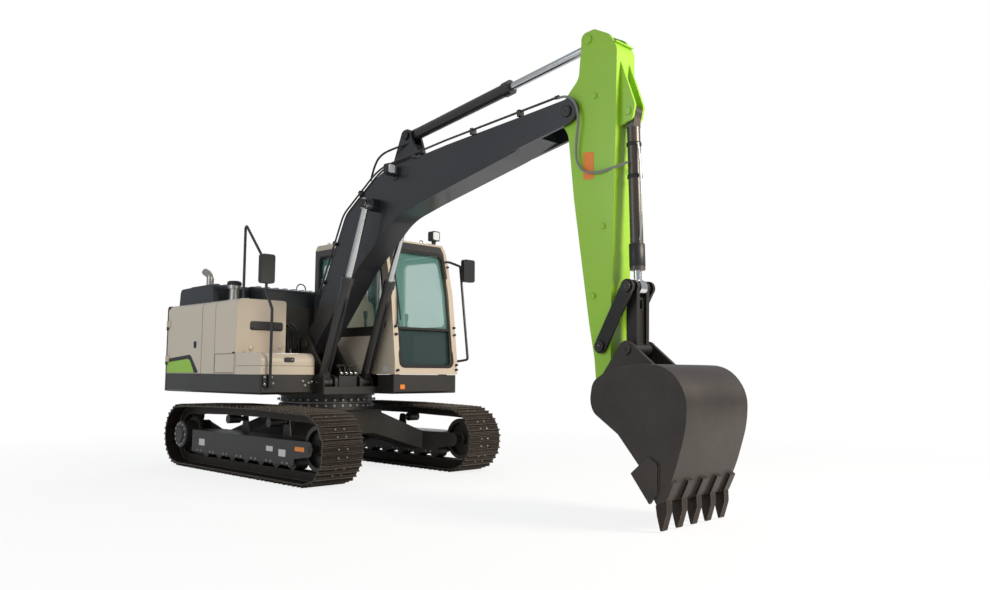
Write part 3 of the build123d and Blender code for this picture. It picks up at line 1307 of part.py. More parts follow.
with BuildPart() as cab_shell:
    with BuildSketch(side(CAB_LEFT)):
        make_face(outline(*CAB_CORNERS))
    extrude(amount=CAB_LEFT - CAB_RIGHT)
    with BuildSketch(side(CAB_LEFT - CAB_WALL)):
        make_face(outline(*inset(CAB_CORNERS, CAB_WALL)))
    extrude(amount=CAB_LEFT - CAB_RIGHT - 2 * CAB_WALL, mode=Mode.SUBTRACT)
    with BuildSketch(side(CAB_LEFT + 1)):
        make_face(outline(*DOOR_CORNERS))
        make_face(outline(*REAR_LEFT_WINDOW))
    extrude(amount=CAB_WALL + 2, mode=Mode.SUBTRACT)
    with BuildSketch(side(CAB_RIGHT + CAB_WALL + 1)):
        make_face(outline(*RIGHT_WINDOW))
    extrude(amount=CAB_WALL + 2, mode=Mode.SUBTRACT)
    for window, x_from, depth in ((FRONT_WINDOW, 700, 500), (REAR_WINDOW, CAB_REAR - 1, CAB_WALL + 2)):
        (y_low, z_low), (y_high, z_high) = window
        with BuildSketch(across(x_from, (y_low + y_high) / 2, (z_low + z_high) / 2)):
            RectangleRounded(y_high - y_low, z_high - z_low, WINDOW_CORNER)
        extrude(amount=depth, mode=Mode.SUBTRACT)
    for hinge_z in DOOR_HINGE_HEIGHTS:
        with BuildSketch(level(hinge_z - SEAT, CAB_HINGE_X - 37, CAB_LEFT + 7)):
            Rectangle(66, 14)
        extrude(amount=-HINGE_FOOT)
        hinge_pin(CAB_HINGE_X, CAB_HINGE_Y, hinge_z)
save(cab_shell, "cab_shell")

# Cab glass: fixed panes against the inside of the walls
with BuildPart() as cab_glass:
    for z_from, z_to in ((1215, WINDOW_SPLIT - 4), (WINDOW_SPLIT + 4, 2725)):
        with BuildSketch(side(FRONT_WINDOW[1][0] + PANE_LAP)):
            make_face(outline(*inset(CAB_CORNERS, CAB_WALL + SEAT)))
            make_face(outline(*inset(CAB_CORNERS, CAB_WALL + SEAT + PANE)), mode=Mode.SUBTRACT)
            make_face(outline(*box_corners(720, 1200, z_from, z_to)), mode=Mode.INTERSECT)
        extrude(amount=FRONT_WINDOW[1][0] - FRONT_WINDOW[0][0] + 2 * PANE_LAP)
    with BuildSketch(side(CAB_RIGHT + CAB_WALL + SEAT + PANE)):
        make_face(outline(*inset(RIGHT_WINDOW, -PANE_LAP)))
    extrude(amount=PANE)
    with BuildSketch(side(CAB_LEFT - CAB_WALL - SEAT)):
        make_face(outline(*inset(REAR_LEFT_WINDOW, -PANE_LAP)))
    extrude(amount=PANE)
    rear_y = (REAR_WINDOW[0][0] + REAR_WINDOW[1][0]) / 2
    rear_z = (REAR_WINDOW[0][1] + REAR_WINDOW[1][1]) / 2
    with BuildSketch(across(CAB_REAR + CAB_WALL + SEAT, rear_y, rear_z)):
        Rectangle(
            REAR_WINDOW[1][0] - REAR_WINDOW[0][0] + 2 * PANE_LAP,
            REAR_WINDOW[1][1] - REAR_WINDOW[0][1] + 2 * PANE_LAP,
        )
    extrude(amount=PANE)
save(cab_glass, "cab_glass")

# Cab door: the same wall, hinged at its rear edge, with two windows and a grip
DOOR_WINDOWS = (
    ((CAB_DOOR_REAR + 85, 1290, 60), (915, 1290, 60), (885, 1660, 60), (CAB_DOOR_REAR + 85, 1660, 60)),
    ((CAB_DOOR_REAR + 85, 1760, 60), (880, 1760, 60), (820, 2200, 300), (710, 2610, 90), (CAB_DOOR_REAR + 85, 2630, 60)),
)
with BuildPart() as cab_door:
    with BuildSketch(side(CAB_LEFT)):
        make_face(outline(*inset(DOOR_CORNERS, DOOR_GAP)))
        for corners in DOOR_WINDOWS:
            make_face(outline(*corners), mode=Mode.SUBTRACT)
    extrude(amount=CAB_WALL)
    for hinge_z in DOOR_HINGE_HEIGHTS:
        with BuildSketch(level(hinge_z, CAB_HINGE_X + 37, CAB_LEFT + 7)):
            Rectangle(66, 14)
        extrude(amount=HINGE_LENGTH)
        hinge_barrel(CAB_HINGE_X, CAB_HINGE_Y, hinge_z)
    with BuildSketch(side(CAB_LEFT + 34)):
        make_face(outline(*box_corners(870, 896, 1500, 1900, 10)))
    extrude(amount=16)
    for grip_z in (1515, 1865):
        with BuildSketch(side(CAB_LEFT + 20)):
            make_face(outline(*box_corners(873, 893, grip_z, grip_z + 20, 0)))
        extrude(amount=20.5)
save(cab_door, "cab_door")

with BuildPart() as cab_door_glass:
    with BuildSketch(side(CAB_LEFT - CAB_WALL - SEAT)):
        for corners in DOOR_WINDOWS:
            make_face(outline(*inset(corners, -PANE_LAP)))
    extrude(amount=PANE)
save(cab_door_glass, "cab_door_glass")

# Operator's seat on its base
SEAT_Y = (CAB_LEFT + CAB_RIGHT) / 2 + 20
with BuildPart() as seat:
    with BuildSketch(side(SEAT_Y)):
        make_face(outline(*box_corners(-330, 60, CAB_BASE + CAB_WALL + SEAT, 1480, 30)))
        make_face(outline(*box_corners(-360, 130, 1480, 1610, 45)))
        make_face(outline((-400, 1520, 40), (-260, 1520, 40), (-340, 2150, 60), (-450, 2150, 50)))
        make_face(outline((-437, 2140, 20), (-360, 2140, 20), (-378, 2340, 40), (-460, 2340, 40)))
    extrude(amount=245, both=True)
save(seat, "seat")

# Cab controls: side consoles, levers, pedals and the screen on its post
with BuildPart() as cab_controls:
    for hand in (1, -1):
        console_y = SEAT_Y + hand * 335
        with BuildSketch(side(console_y)):
            make_face(outline(*box_corners(-330, 300, CAB_BASE + CAB_WALL + SEAT, 1700, 40)))
        extrude(amount=75, both=True)
        with BuildSketch(level(1700, 230, console_y)):
            Circle(16)
        extrude(amount=170)
        with BuildSketch(level(1860, 230, console_y)):
            Circle(26)
        extrude(amount=90)
        with BuildSketch(side(SEAT_Y + hand * 90)):
            make_face(outline(*box_corners(600, 640, CAB_BASE + CAB_WALL + SEAT, 1330, 0)))
            make_face(outline((560, 1320, 8), (760, 1250, 8), (768, 1272, 8), (568, 1342, 8)))
        extrude(amount=55, both=True)
        with BuildSketch(level(1320, 625, SEAT_Y + hand * 90)):
            Circle(12)
        extrude(amount=380)
    with BuildSketch(side(CAB_RIGHT + 150)):
        make_face(outline(*box_corners(700, 740, CAB_BASE + CAB_WALL + SEAT, 1850, 0)))
        make_face(outline((690, 1700, 20), (740, 1700, 20), (700, 1930, 20), (650, 1930, 20)))
    extrude(amount=60, both=True)
save(cab_controls, "cab_controls")


def side_wall(side_y, hand, z_from):
    """Corners, seen from the front, of a body side wall with its rounded shoulder."""
    return (
        (side_y, z_from, 0),
        (side_y, HOUSE_TOP, SHOULDER),
        (side_y - hand * SHOULDER_REACH, HOUSE_TOP, 0),
        (side_y - hand * SHOULDER_REACH, HOUSE_TOP - PANEL, 0),
        (side_y - hand * PANEL, HOUSE_TOP - PANEL, SHOULDER - PANEL),
        (side_y - hand * PANEL, z_from, 0),
    )


WALL_BOTTOM = SKIRT_TOP + FREE
# Side doors over the pump bay and the cooler bay
for name, side_y, hand in (("left", LEFT_SIDE, 1), ("right", RIGHT_SIDE, -1)):
    with BuildPart() as side_door:
        with BuildSketch(across(DOOR_REAR)):
            make_face(outline(*side_wall(side_y, hand, WALL_BOTTOM)))
        extrude(amount=DOOR_FRONT - DOOR_REAR)
        for hinge_z in SIDE_HINGE_HEIGHTS:
            with BuildSketch(level(hinge_z, SIDE_HINGE_X + 35, side_y + hand * 5)):
                Rectangle(58, 14)
            extrude(amount=HINGE_LENGTH)
            hinge_barrel(SIDE_HINGE_X, side_y + hand * SIDE_HINGE_OUT, hinge_z)
        if name == "left":
            with BuildSketch(side(side_y + 1, (DOOR_REAR + DOOR_FRONT) / 2, GRILLE_MIDDLE)):
                with GridLocations(GRILLE_PITCH_X, GRILLE_PITCH_Z, GRILLE_COLUMNS, GRILLE_ROWS):
                    SlotOverall(GRILLE_PITCH_X - 60, GRILLE_SLOT)
            extrude(amount=PANEL + 2, mode=Mode.SUBTRACT)
    save(side_door, f"{name}_side_door")

# Body frame: pillars, top plate, front bulkhead and the door sills
with BuildPart() as body_frame:
    with BuildSketch(across(HYDRAULIC_REAR)):
        make_face(outline(*side_wall(LEFT_SIDE, 1, DECK_BOTTOM + DECK_PLATE + SEAT)))
        make_face(
            outline(*box_corners(LEFT_SIDE - PANEL, LEFT_SIDE, DECK_BOTTOM, SKIRT_TOP + 3)),
            mode=Mode.SUBTRACT,
        )
    extrude(amount=BULKHEAD_X - HYDRAULIC_REAR)
    top_left = LEFT_SIDE - SHOULDER_REACH - FREE
    top_right = RIGHT_SIDE + SHOULDER_REACH + FREE
    with BuildSketch(level(HOUSE_TOP - PANEL)):
        make_face(
            outline(
                (DOOR_REAR, top_right, 0),
                (HYDRAULIC_REAR - FREE, top_right, 0),
                (HYDRAULIC_REAR - FREE, TANK_LEFT + 40, 0),
                (BULKHEAD_X, TANK_LEFT + 40, 0),
                (BULKHEAD_X, top_left + FREE + 10, 0),
                (HYDRAULIC_REAR, top_left + FREE + 10, 0),
                (HYDRAULIC_REAR, top_left, 0),
                (DOOR_REAR, top_left, 0),
            )
        )
        make_face(
            outline(
                (HOOD_REAR + 60, HOOD_RIGHT + 60, 0),
                (HOOD_FRONT - 60, HOOD_RIGHT + 60, 0),
                (HOOD_FRONT - 60, HOOD_LEFT - 60, 0),
                (HOOD_REAR + 60, HOOD_LEFT - 60, 0),
            ),
            mode=Mode.SUBTRACT,
        )
    extrude(amount=PANEL)
    with BuildSketch(across(BULKHEAD_X)):
        make_face(
            outline(
                *box_corners(
                    TANK_LEFT + 40,
                    LEFT_SIDE - SKIRT_PLATE - SEAT,
                    DECK_BOTTOM + DECK_PLATE + SEAT,
                    HOUSE_TOP,
                )
            )
        )
        make_face(
            outline(
                *box_corners(
                    BOOM_Y - BEAM_INNER - EAR_PLATE - 20,
                    BOOM_Y + BEAM_INNER + EAR_PLATE + 20,
                    DECK_BOTTOM,
                    SKIRT_TOP + 260,
                )
            ),
            mode=Mode.SUBTRACT,
        )
    extrude(amount=-PANEL / 2)
save(body_frame, "body_frame")

# Tanks behind the toolbox: sheet boxes open underneath, with the shoulder of the body sides
for name, x_from, x_to, y_left in (
    ("hydraulic_tank", HYDRAULIC_REAR, TANK_REAR - 10, TANK_LEFT - 40),
    ("fuel_tank", TANK_REAR, TANK_FRONT, TANK_LEFT),
):
    tank_corners = (
        (RIGHT_SIDE + SKIRT_PLATE + SEAT, DECK_BOTTOM + DECK_PLATE + SEAT, 0),
        (RIGHT_SIDE + SKIRT_PLATE + SEAT, WALL_BOTTOM, 0),
        (RIGHT_SIDE, WALL_BOTTOM, 0),
        (RIGHT_SIDE, HOUSE_TOP, SHOULDER),
        (y_left, HOUSE_TOP, 40),
        (y_left, DECK_BOTTOM + DECK_PLATE + SEAT, 0),
    )
    with BuildPart() as tank:
        with BuildSketch(across(x_from)):
            make_face(outline(*tank_corners))
        extrude(amount=x_to - x_from)
        with BuildSketch(across(x_from + TANK_SHEET)):
            make_face(
                outline(
                    (RIGHT_SIDE + 2 * TANK_SHEET + SKIRT_PLATE, DECK_BOTTOM, 0),
                    (RIGHT_SIDE + 2 * TANK_SHEET + SKIRT_PLATE, HOUSE_TOP - TANK_SHEET, SHOULDER),
                    (y_left - TANK_SHEET, HOUSE_TOP - TANK_SHEET, 30),
                    (y_left - TANK_SHEET, DECK_BOTTOM, 0),
                )
            )
        extrude(amount=x_to - x_from - 2 * TANK_SHEET, mode=Mode.SUBTRACT)
        if name == "fuel_tank":
            for hinge_y in LID_HINGES:
                with BuildSketch(side(hinge_y + LID_KNUCKLE, LID_HINGE_X, LID_HINGE_Z)):
                    Circle(LID_KNUCKLE_RADIUS - 2)
                    with Locations(((TANK_FRONT - LID_HINGE_X) / 2, 0)):
                        Rectangle(LID_HINGE_X - TANK_FRONT, 10)
                extrude(amount=LID_KNUCKLE)
                with BuildSketch(side(hinge_y + 1, LID_HINGE_X, LID_HINGE_Z)):
                    Circle(LID_PIN)
                extrude(amount=LID_KNUCKLE)
    save(tank, name)

# Step on the front of the fuel tank
with BuildPart() as tank_step:
    with BuildSketch(across(TANK_FRONT + SEAT, STEP_Y, STEP_Z)):
        RectangleRounded(STEP_WIDTH, STEP_HEIGHT, 28)
    extrude(amount=8)
    with BuildSketch(across(TANK_FRONT + SEAT, STEP_Y, STEP_Z - STEP_HEIGHT / 2 + 18)):
        RectangleRounded(STEP_WIDTH - 30, 14, 6)
    extrude(amount=STEP_TREAD)
save(tank_step, "tank_step")

# Four hydraulic ports with their tubes, in front of the boom foot
with BuildPart() as manifold:
    with BuildSketch(level(DECK_BOTTOM + DECK_PLATE + SEAT, MANIFOLD_X, BOOM_Y)):
        RectangleRounded(60, 2 * BEAM_INNER - 50, 8)
    extrude(amount=MANIFOLD_TOP - DECK_BOTTOM - DECK_PLATE - SEAT)
    with BuildSketch(level(MANIFOLD_TOP - 1, MANIFOLD_X, BOOM_Y)):
        with GridLocations(0, PORT_PITCH, 1, 4):
            Circle(PORT_RADIUS)
    extrude(amount=PORT_HEIGHT)
    for hand in (1, -1):
        for port, rise, reach in ((0.5, 42, 118), (1.5, 24, 50)):
            port_y = BOOM_Y + hand * port * PORT_PITCH
            with BuildLine() as port_path:
                FilletPolyline(
                    at(MANIFOLD_X, port_y, MANIFOLD_TOP + PORT_HEIGHT - 5),
                    at(MANIFOLD_X, port_y, MANIFOLD_TOP + PORT_HEIGHT + rise),
                    at(MANIFOLD_X + 12, port_y + hand * reach, MANIFOLD_TOP + PORT_HEIGHT + rise + 4),
                    radius=20,
                )
            with BuildSketch(Plane(origin=port_path.line @ 0, z_dir=(0, 0, 1))):
                Circle(8)
            sweep(path=port_path.line)
save(manifold, "front_manifold")

# Toolbox and its lid, hinged along the tank
with BuildPart() as toolbox:
    with BuildSketch(across(TANK_FRONT + 8)):
        make_face(
            outline(
                (RIGHT_SIDE + 40, DECK_BOTTOM + DECK_PLATE + SEAT, 0),
                (RIGHT_SIDE + 40, SKIRT_TOP + SEAT, 0),
                (RIGHT_SIDE, SKIRT_TOP + SEAT, 0),
                (RIGHT_SIDE, TOOLBOX_TOP - LID_DEPTH, 0),
                (TOOLBOX_LEFT - SEAT, TOOLBOX_TOP - LID_DEPTH, 0),
                (TOOLBOX_LEFT - SEAT, SKIRT_TOP + SEAT, 0),
                (TOOLBOX_LEFT - 40, SKIRT_TOP + SEAT, 0),
                (TOOLBOX_LEFT - 40, DECK_BOTTOM + DECK_PLATE + SEAT, 0),
            )
        )
    extrude(amount=RIGHT_DECK_FRONT - 40 - TANK_FRONT - 8)
    with BuildSketch(level(SKIRT_TOP + SEAT)):
        make_face(
            outline(
                (RIGHT_DECK_FRONT - 50, RIGHT_SIDE, 0),
                (RIGHT_DECK_FRONT, RIGHT_SIDE, 25),
                (RIGHT_DECK_FRONT, TOOLBOX_LEFT - SEAT, 0),
                (RIGHT_DECK_FRONT - 50, TOOLBOX_LEFT - SEAT, 0),
            )
        )
    extrude(amount=TOOLBOX_TOP - LID_DEPTH - SKIRT_TOP - SEAT)
    with BuildSketch(level(DECK_BOTTOM + DECK_PLATE + 12)):
        make_face(
            outline(
                (TANK_FRONT + 20, RIGHT_SIDE + 52, 0),
                (RIGHT_DECK_FRONT - 52, RIGHT_SIDE + 52, 0),
                (RIGHT_DECK_FRONT - 52, TOOLBOX_LEFT - 52, 0),
                (TANK_FRONT + 20, TOOLBOX_LEFT - 52, 0),
            )
        )
    extrude(amount=TOOLBOX_TOP, mode=Mode.SUBTRACT)
save(toolbox, "toolbox")

with BuildPart() as toolbox_lid:
    with BuildSketch(side(TOOLBOX_LEFT - SEAT)):
        make_face(
            outline(
                (TANK_FRONT + 8, TOOLBOX_TOP - LID_DEPTH + 3, 0),
                (RIGHT_DECK_FRONT, TOOLBOX_TOP - LID_DEPTH + 3, 0),
                (RIGHT_DECK_FRONT, TOOLBOX_TOP, LID_ROUND),
                (TANK_FRONT + 8, TOOLBOX_TOP, 0),
            )
        )
    extrude(amount=TOOLBOX_LEFT - SEAT - RIGHT_SIDE)
    with BuildSketch(side(TOOLBOX_LEFT - SEAT - LID_SHEET)):
        make_face(
            outline(
                (TANK_FRONT + 8 + LID_SHEET, TOOLBOX_TOP - LID_DEPTH - 10, 0),
                (RIGHT_DECK_FRONT - LID_SHEET, TOOLBOX_TOP - LID_DEPTH - 10, 0),
                (RIGHT_DECK_FRONT - LID_SHEET, TOOLBOX_TOP - LID_SHEET, LID_ROUND - LID_SHEET),
                (TANK_FRONT + 8 + LID_SHEET, TOOLBOX_TOP - LID_SHEET, 0),
            )
        )
    extrude(amount=TOOLBOX_LEFT - SEAT - RIGHT_SIDE - 2 * LID_SHEET, mode=Mode.SUBTRACT)
    for hinge_y in LID_HINGES:
        with BuildSketch(side(hinge_y - SEAT, LID_HINGE_X, LID_HINGE_Z)):
            Circle(LID_KNUCKLE_RADIUS)
        extrude(amount=LID_KNUCKLE)
        with BuildSketch(side(hinge_y, LID_HINGE_X, LID_HINGE_Z)):
            Circle(LID_PIN + RUN)
        extrude(amount=LID_KNUCKLE + 1, mode=Mode.SUBTRACT)
save(toolbox_lid, "toolbox_lid")

# Engine hood, hinged along its rear edge, and the fixed ribbed cover over the pump bay
for name, x_from, x_to, y_left, y_right in (
    ("engine_hood", HOOD_REAR, HOOD_FRONT, HOOD_LEFT, HOOD_RIGHT),
    ("pump_cover", HOOD_REAR, HYDRAULIC_REAR - FREE, HOOD_RIGHT - 12, RIGHT_SIDE + SHOULDER_REACH + FREE + 10),
):
    hood_corners = (
        (x_from, HOUSE_TOP + SEAT, 0),
        (x_to, HOUSE_TOP + SEAT, 0),
        (x_to - 25, HOOD_TOP, 70),
        (x_from + 25, HOOD_TOP - 20, 70),
    )
    with BuildPart() as hood:
        with BuildSketch(side(y_left)):
            make_face(outline(*hood_corners))
        extrude(amount=y_left - y_right)
        with BuildSketch(side(y_left - HOOD_SHEET)):
            make_face(
                outline(
                    (x_from + HOOD_SHEET, HOUSE_TOP - 10, 0),
                    (x_to - HOOD_SHEET, HOUSE_TOP - 10, 0),
                    (x_to - HOOD_SHEET - 25, HOOD_TOP - HOOD_SHEET, 50),
                    (x_from + HOOD_SHEET + 25, HOOD_TOP - HOOD_SHEET - 20, 50),
                )
            )
        extrude(amount=y_left - y_right - 2 * HOOD_SHEET, mode=Mode.SUBTRACT)
        rib_count = int((y_left - y_right - 160) / RIB_PITCH) + 1
        for index in range(rib_count):
            rib_y = (y_left + y_right) / 2 + (index - (rib_count - 1) / 2) * RIB_PITCH
            with BuildSketch(level(HOOD_TOP - HOOD_SHEET - 8, (x_from + x_to) / 2, rib_y)):
                RectangleRounded(x_to - x_from - 260, 60, 20)
            extrude(amount=HOOD_SHEET + 8 + RIB_HEIGHT)
    save(hood, name)

# Engine, one block open underneath, and the cooler pack behind the left door
with BuildPart() as engine:
    with BuildSketch(level(ENGINE_BOTTOM, (DOOR_REAR + DOOR_FRONT) / 2, 150)):
        Rectangle(620, 950)
    extrude(amount=ENGINE_TOP - ENGINE_BOTTOM)
    with BuildSketch(level(ENGINE_BOTTOM - 1, (DOOR_REAR + DOOR_FRONT) / 2, 150)):
        Rectangle(540, 870)
    extrude(amount=ENGINE_TOP - ENGINE_BOTTOM - 60, mode=Mode.SUBTRACT)
save(engine, "engine_block")

with BuildPart() as cooler:
    with BuildSketch(level(DECK_BOTTOM + DECK_PLATE + SEAT, (DOOR_REAR + DOOR_FRONT) / 2, 960)):
        Rectangle(820, 90)
    extrude(amount=950)
save(cooler, "cooler_pack")

# Slew motor between the beams and the control valve beside them
with BuildPart() as slew_motor:
    with BuildSketch(level(DECK_BOTTOM + DECK_PLATE + SEAT, -400, BOOM_Y)):
        Circle(125)
    extrude(amount=330)
    with BuildSketch(level(DECK_BOTTOM + DECK_PLATE + SEAT, -400, BOOM_Y)):
        Circle(85)
    extrude(amount=500)
save(slew_motor, "slew_motor")

with BuildPart() as control_valve:
    valve_right = TANK_LEFT + 15
    valve_left = BOOM_Y - BEAM_INNER - EAR_PLATE - SEAT
    with BuildSketch(side(valve_left)):
        make_face(outline(*box_corners(-480, -60, DECK_BOTTOM + DECK_PLATE + SEAT, 1330, 15)))
        for port_x in (-420, -320, -220, -120):
            make_face(outline(*box_corners(port_x - 32, port_x + 32, 1300, 1390, 10)))
    extrude(amount=valve_left - valve_right)
save(control_valve, "control_valve")

# Exhaust stub with its bend, and the air cleaner's bowl
EXHAUST_BASE = HOOD_TOP + RIB_HEIGHT + SEAT
with BuildPart() as exhaust:
    with BuildLine(side(EXHAUST_Y)) as exhaust_path:
        FilletPolyline(
            (EXHAUST_X, EXHAUST_BASE),
            (EXHAUST_X, EXHAUST_BASE + 170),
            (EXHAUST_X - 150, EXHAUST_BASE + 230),
            radius=70,
        )
    with BuildSketch(level(EXHAUST_BASE, EXHAUST_X, EXHAUST_Y)):
        Circle(48)
        Circle(43, mode=Mode.SUBTRACT)
    sweep(path=exhaust_path.line)
    with BuildSketch(level(EXHAUST_BASE, EXHAUST_X, EXHAUST_Y)):
        Circle(75)
        Circle(43, mode=Mode.SUBTRACT)
    extrude(amount=24)
save(exhaust, "exhaust")

with BuildPart() as air_cleaner:
    with BuildSketch(level(HOUSE_TOP + SEAT, -700, -930)):
        Circle(72)
    extrude(amount=40)
    with BuildSketch(level(HOUSE_TOP + 40, -700, -930)):
        Circle(60)
    extrude(amount=150)
    with BuildSketch(level(HOUSE_TOP + 170, -700, -930)):
        Circle(82)
    extrude(amount=85)
    fillet(air_cleaner.edges().filter_by(GeomType.CIRCLE).sort_by(Axis.Z)[-1], 35)
save(air_cleaner, "air_cleaner")

# Handrails and mirror stems
RAIL_ROUTES = (
    (
        (-90, -1130, HOUSE_TOP + SEAT),
        (-90, -1130, 2920),
        (385, -1165, 2480),
        (455 - SEAT, -1165, 2480),
    ),
    (
        (605, -1150, 1000),
        (605, -1150, 1870),
        (490, -1165, 2080),
        (490, -1165, 2165 - SEAT),
    ),
    (
        (845, CAB_LEFT + SEAT, 2610),
        (845, 1290, 2610),
        (1040, 1290, 2540),
        (1195, 1290, 1340),
        (1030, 1290, 1320),
        (1030, CAB_LEFT + SEAT, 1320),
    ),
)
with BuildPart() as handrails:
    for route in RAIL_ROUTES:
        with BuildLine() as rail_path:
            FilletPolyline(*[at(*point) for point in route], radius=RAIL_BEND)
        start = Vector(*at(*route[0]))
        heading = (Vector(*at(*route[1])) - start).normalized()
        with BuildSketch(Plane(origin=start, z_dir=heading)):
            Circle(RAIL_TUBE)
        sweep(path=rail_path.line)
    with BuildSketch(across(RIGHT_DECK_FRONT + SEAT, -1150, 1060)):
        Rectangle(100, 100)
    extrude(amount=14)
    with BuildSketch(across(RIGHT_DECK_FRONT + SEAT, -1150, 1060)):
        Rectangle(14, 80)
    extrude(amount=605 - RIGHT_DECK_FRONT)
save(handrails, "handrails")

with BuildPart() as mirrors:
    for x, y, z, width, height, depth in (
        (455, -1165, 2330, 170, 330, 70),
        (1083, 1360, 2480, 190, 290, 60),
    ):
        with BuildSketch(across(x, y, z)):
            RectangleRounded(width, height, 30)
        extrude(amount=depth)
save(mirrors, "mirrors")

# Work lamps on the cab roof and on the boom
ROOF_AT_LAMP = 2841.6
ROOF_LAMP_Y = 1145.0
with BuildPart() as roof_lamp:
    with BuildSketch(across(640, ROOF_LAMP_Y, CAB_TOP + 95)):
        RectangleRounded(LAMP_WIDTH + 20, LAMP_WIDTH + 20, 22)
    extrude(amount=90)
    with BuildSketch(level(ROOF_AT_LAMP + SEAT, 680, ROOF_LAMP_Y)):
        Rectangle(40, 40)
    extrude(amount=CAB_TOP + 60 - ROOF_AT_LAMP)
save(roof_lamp, "roof_lamp")
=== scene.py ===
"""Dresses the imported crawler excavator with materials, fittings, light and camera."""

import math
import random

import bmesh
import bpy
from bpy.props import FloatProperty, FloatVectorProperty, PointerProperty
from mathutils import Matrix, Vector


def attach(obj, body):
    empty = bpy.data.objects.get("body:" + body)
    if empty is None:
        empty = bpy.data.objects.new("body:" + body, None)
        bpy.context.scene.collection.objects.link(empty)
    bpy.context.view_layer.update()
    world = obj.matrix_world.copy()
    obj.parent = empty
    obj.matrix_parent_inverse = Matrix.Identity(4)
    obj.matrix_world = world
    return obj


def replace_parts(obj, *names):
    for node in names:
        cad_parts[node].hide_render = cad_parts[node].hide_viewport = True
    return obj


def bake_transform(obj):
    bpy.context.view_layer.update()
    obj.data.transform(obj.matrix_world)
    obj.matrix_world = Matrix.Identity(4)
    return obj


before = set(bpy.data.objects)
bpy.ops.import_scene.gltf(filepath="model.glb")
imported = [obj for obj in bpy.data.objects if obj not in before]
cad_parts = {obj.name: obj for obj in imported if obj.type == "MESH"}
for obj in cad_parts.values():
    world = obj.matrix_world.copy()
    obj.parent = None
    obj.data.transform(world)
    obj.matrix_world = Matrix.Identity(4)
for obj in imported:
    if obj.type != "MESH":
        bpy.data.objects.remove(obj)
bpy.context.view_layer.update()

bl_info = {
    "name": "Crawler excavator dressing",
    "version": (1, 0, 0),
    "blender": (4, 5, 0),
    "location": "3D View > Sidebar > Excavator",
    "description": "Materials, fittings, studio and camera for a crawler excavator",
    "category": "Object",
}

# Places in metres from the slew axis on the ground
SLEW_X = -1.695
SLEW_Y = -0.1
BOOM_Y = -0.17
LEFT_Y = 1.22
RIGHT_Y = -1.24
CAB_RIGHT_Y = 0.215
CAB_LEFT_Y = 1.215
CAB_FRONT_X = 1.081
TANK_X = -0.03
DECK_X = 0.556
HOUSE_TOP = 2.03
SEAT_Y = 0.735
SEAT_FLOOR = 1.196
FRAME_HALF = 0.17
ROLLER_PITCH = 0.33
ROLLER_BOLT_Z = 0.212
BUCKET_HALF = 0.4525
BOOM_CYL_OUT = 0.295
BOOM_CYL = ((0.60, 1.05), (1.39, 3.05))
ARM_CYL = ((1.80, 3.79), (4.41, 4.12))
BUCKET_CYL = ((4.79, 3.40), (4.82, 1.89))
CAB_FRONT_LINE = ((CAB_FRONT_X, 1.15), (CAB_FRONT_X, 1.30), (0.985, 2.15), (0.85, 2.70), (0.84, 2.75))
CHEVRON_BORDER = [(-1.846, 1.157), (-0.945, 1.157), (-1.165, 1.372), (-1.215, 1.384), (-1.846, 1.338)]
CHEVRON_FILL = [(-1.843, 1.160), (-1.062, 1.160), (-1.185, 1.312), (-1.245, 1.332), (-1.843, 1.292)]
LATCH = (-1.098, -1.022, 1.462, 1.548)
LATCH_RIM = 0.014
FRAME_LABELS = ((-1.0, -0.85, 0.275, 0.355), (0.6, 0.74, 0.315, 0.37), (0.86, 1.0, 0.275, 0.35))
FRAME_STRIPE = (1.18, 1.36, 0.35, 0.396)
NEAR_ARM_HOSE = (
    (4.09, 3.655, -0.335),
    (4.19, 3.66, -0.345),
    (4.31, 3.56, -0.35),
    (4.335, 3.40, -0.345),
    (4.30, 3.22, -0.34),
    (4.29, 3.05, -0.335),
    (4.36, 2.93, -0.33),
    (4.52, 2.89, -0.325),
    (4.68, 2.92, -0.30),
    (4.79, 2.955, -0.25),
)
FAR_ARM_HOSE = (
    (4.09, 3.655, -0.005),
    (4.19, 3.66, 0.005),
    (4.31, 3.56, 0.01),
    (4.335, 3.40, 0.005),
    (4.30, 3.22, 0.0),
    (4.36, 3.0, -0.01),
    (4.52, 2.93, -0.015),
    (4.68, 2.92, -0.04),
    (4.79, 2.955, -0.09),
)
HUMP_HOSE = (
    (1.25, 3.36, -0.31),
    (1.33, 3.52, -0.325),
    (1.46, 3.625, -0.33),
    (1.66, 3.665, -0.30),
    (1.86, 3.70, -0.24),
)

# Camera: place, turn in degrees and lens that match the photograph
CAMERA_PLACE = (8.8177, -5.8945, 1.1701)
CAMERA_TURN = (134.8228, 5.4134, 0.2524)
LAMPS = (
    ("key", (10.0, 2.5, 6.0), (0.0, 0.0, 1.5), 3.5, 330.0, (1.0, 0.90, 0.78)),
    ("side", (-1.0, -10.0, 5.0), (0.0, 0.0, 1.2), 6.0, 60.0, (0.9, 0.95, 1.0)),
    ("back", (-8.0, 6.0, 6.0), (0.0, 0.0, 1.5), 5.0, 90.0, (0.95, 0.97, 1.0)),
)
FLOOR_HALF = 60.0

# Track loop: two half circles joined by straight runs, the upper one lifted by the carrier rollers
SIDES = (-1.0, 1.0)
SHOE_COUNT = 43
SPROCKET_TEETH = 21
CHAIN_RADIUS = 0.3
LINK_PITCH = 4 * math.pi * CHAIN_RADIUS / SPROCKET_TEETH
TUMBLER_X = (SHOE_COUNT * LINK_PITCH - 2 * math.pi * CHAIN_RADIUS) / 4
TUMBLER_Z = 0.384
SHOE_OUT = 0.058
CARRIER_X = 0.47
CARRIER_RISE = 0.024

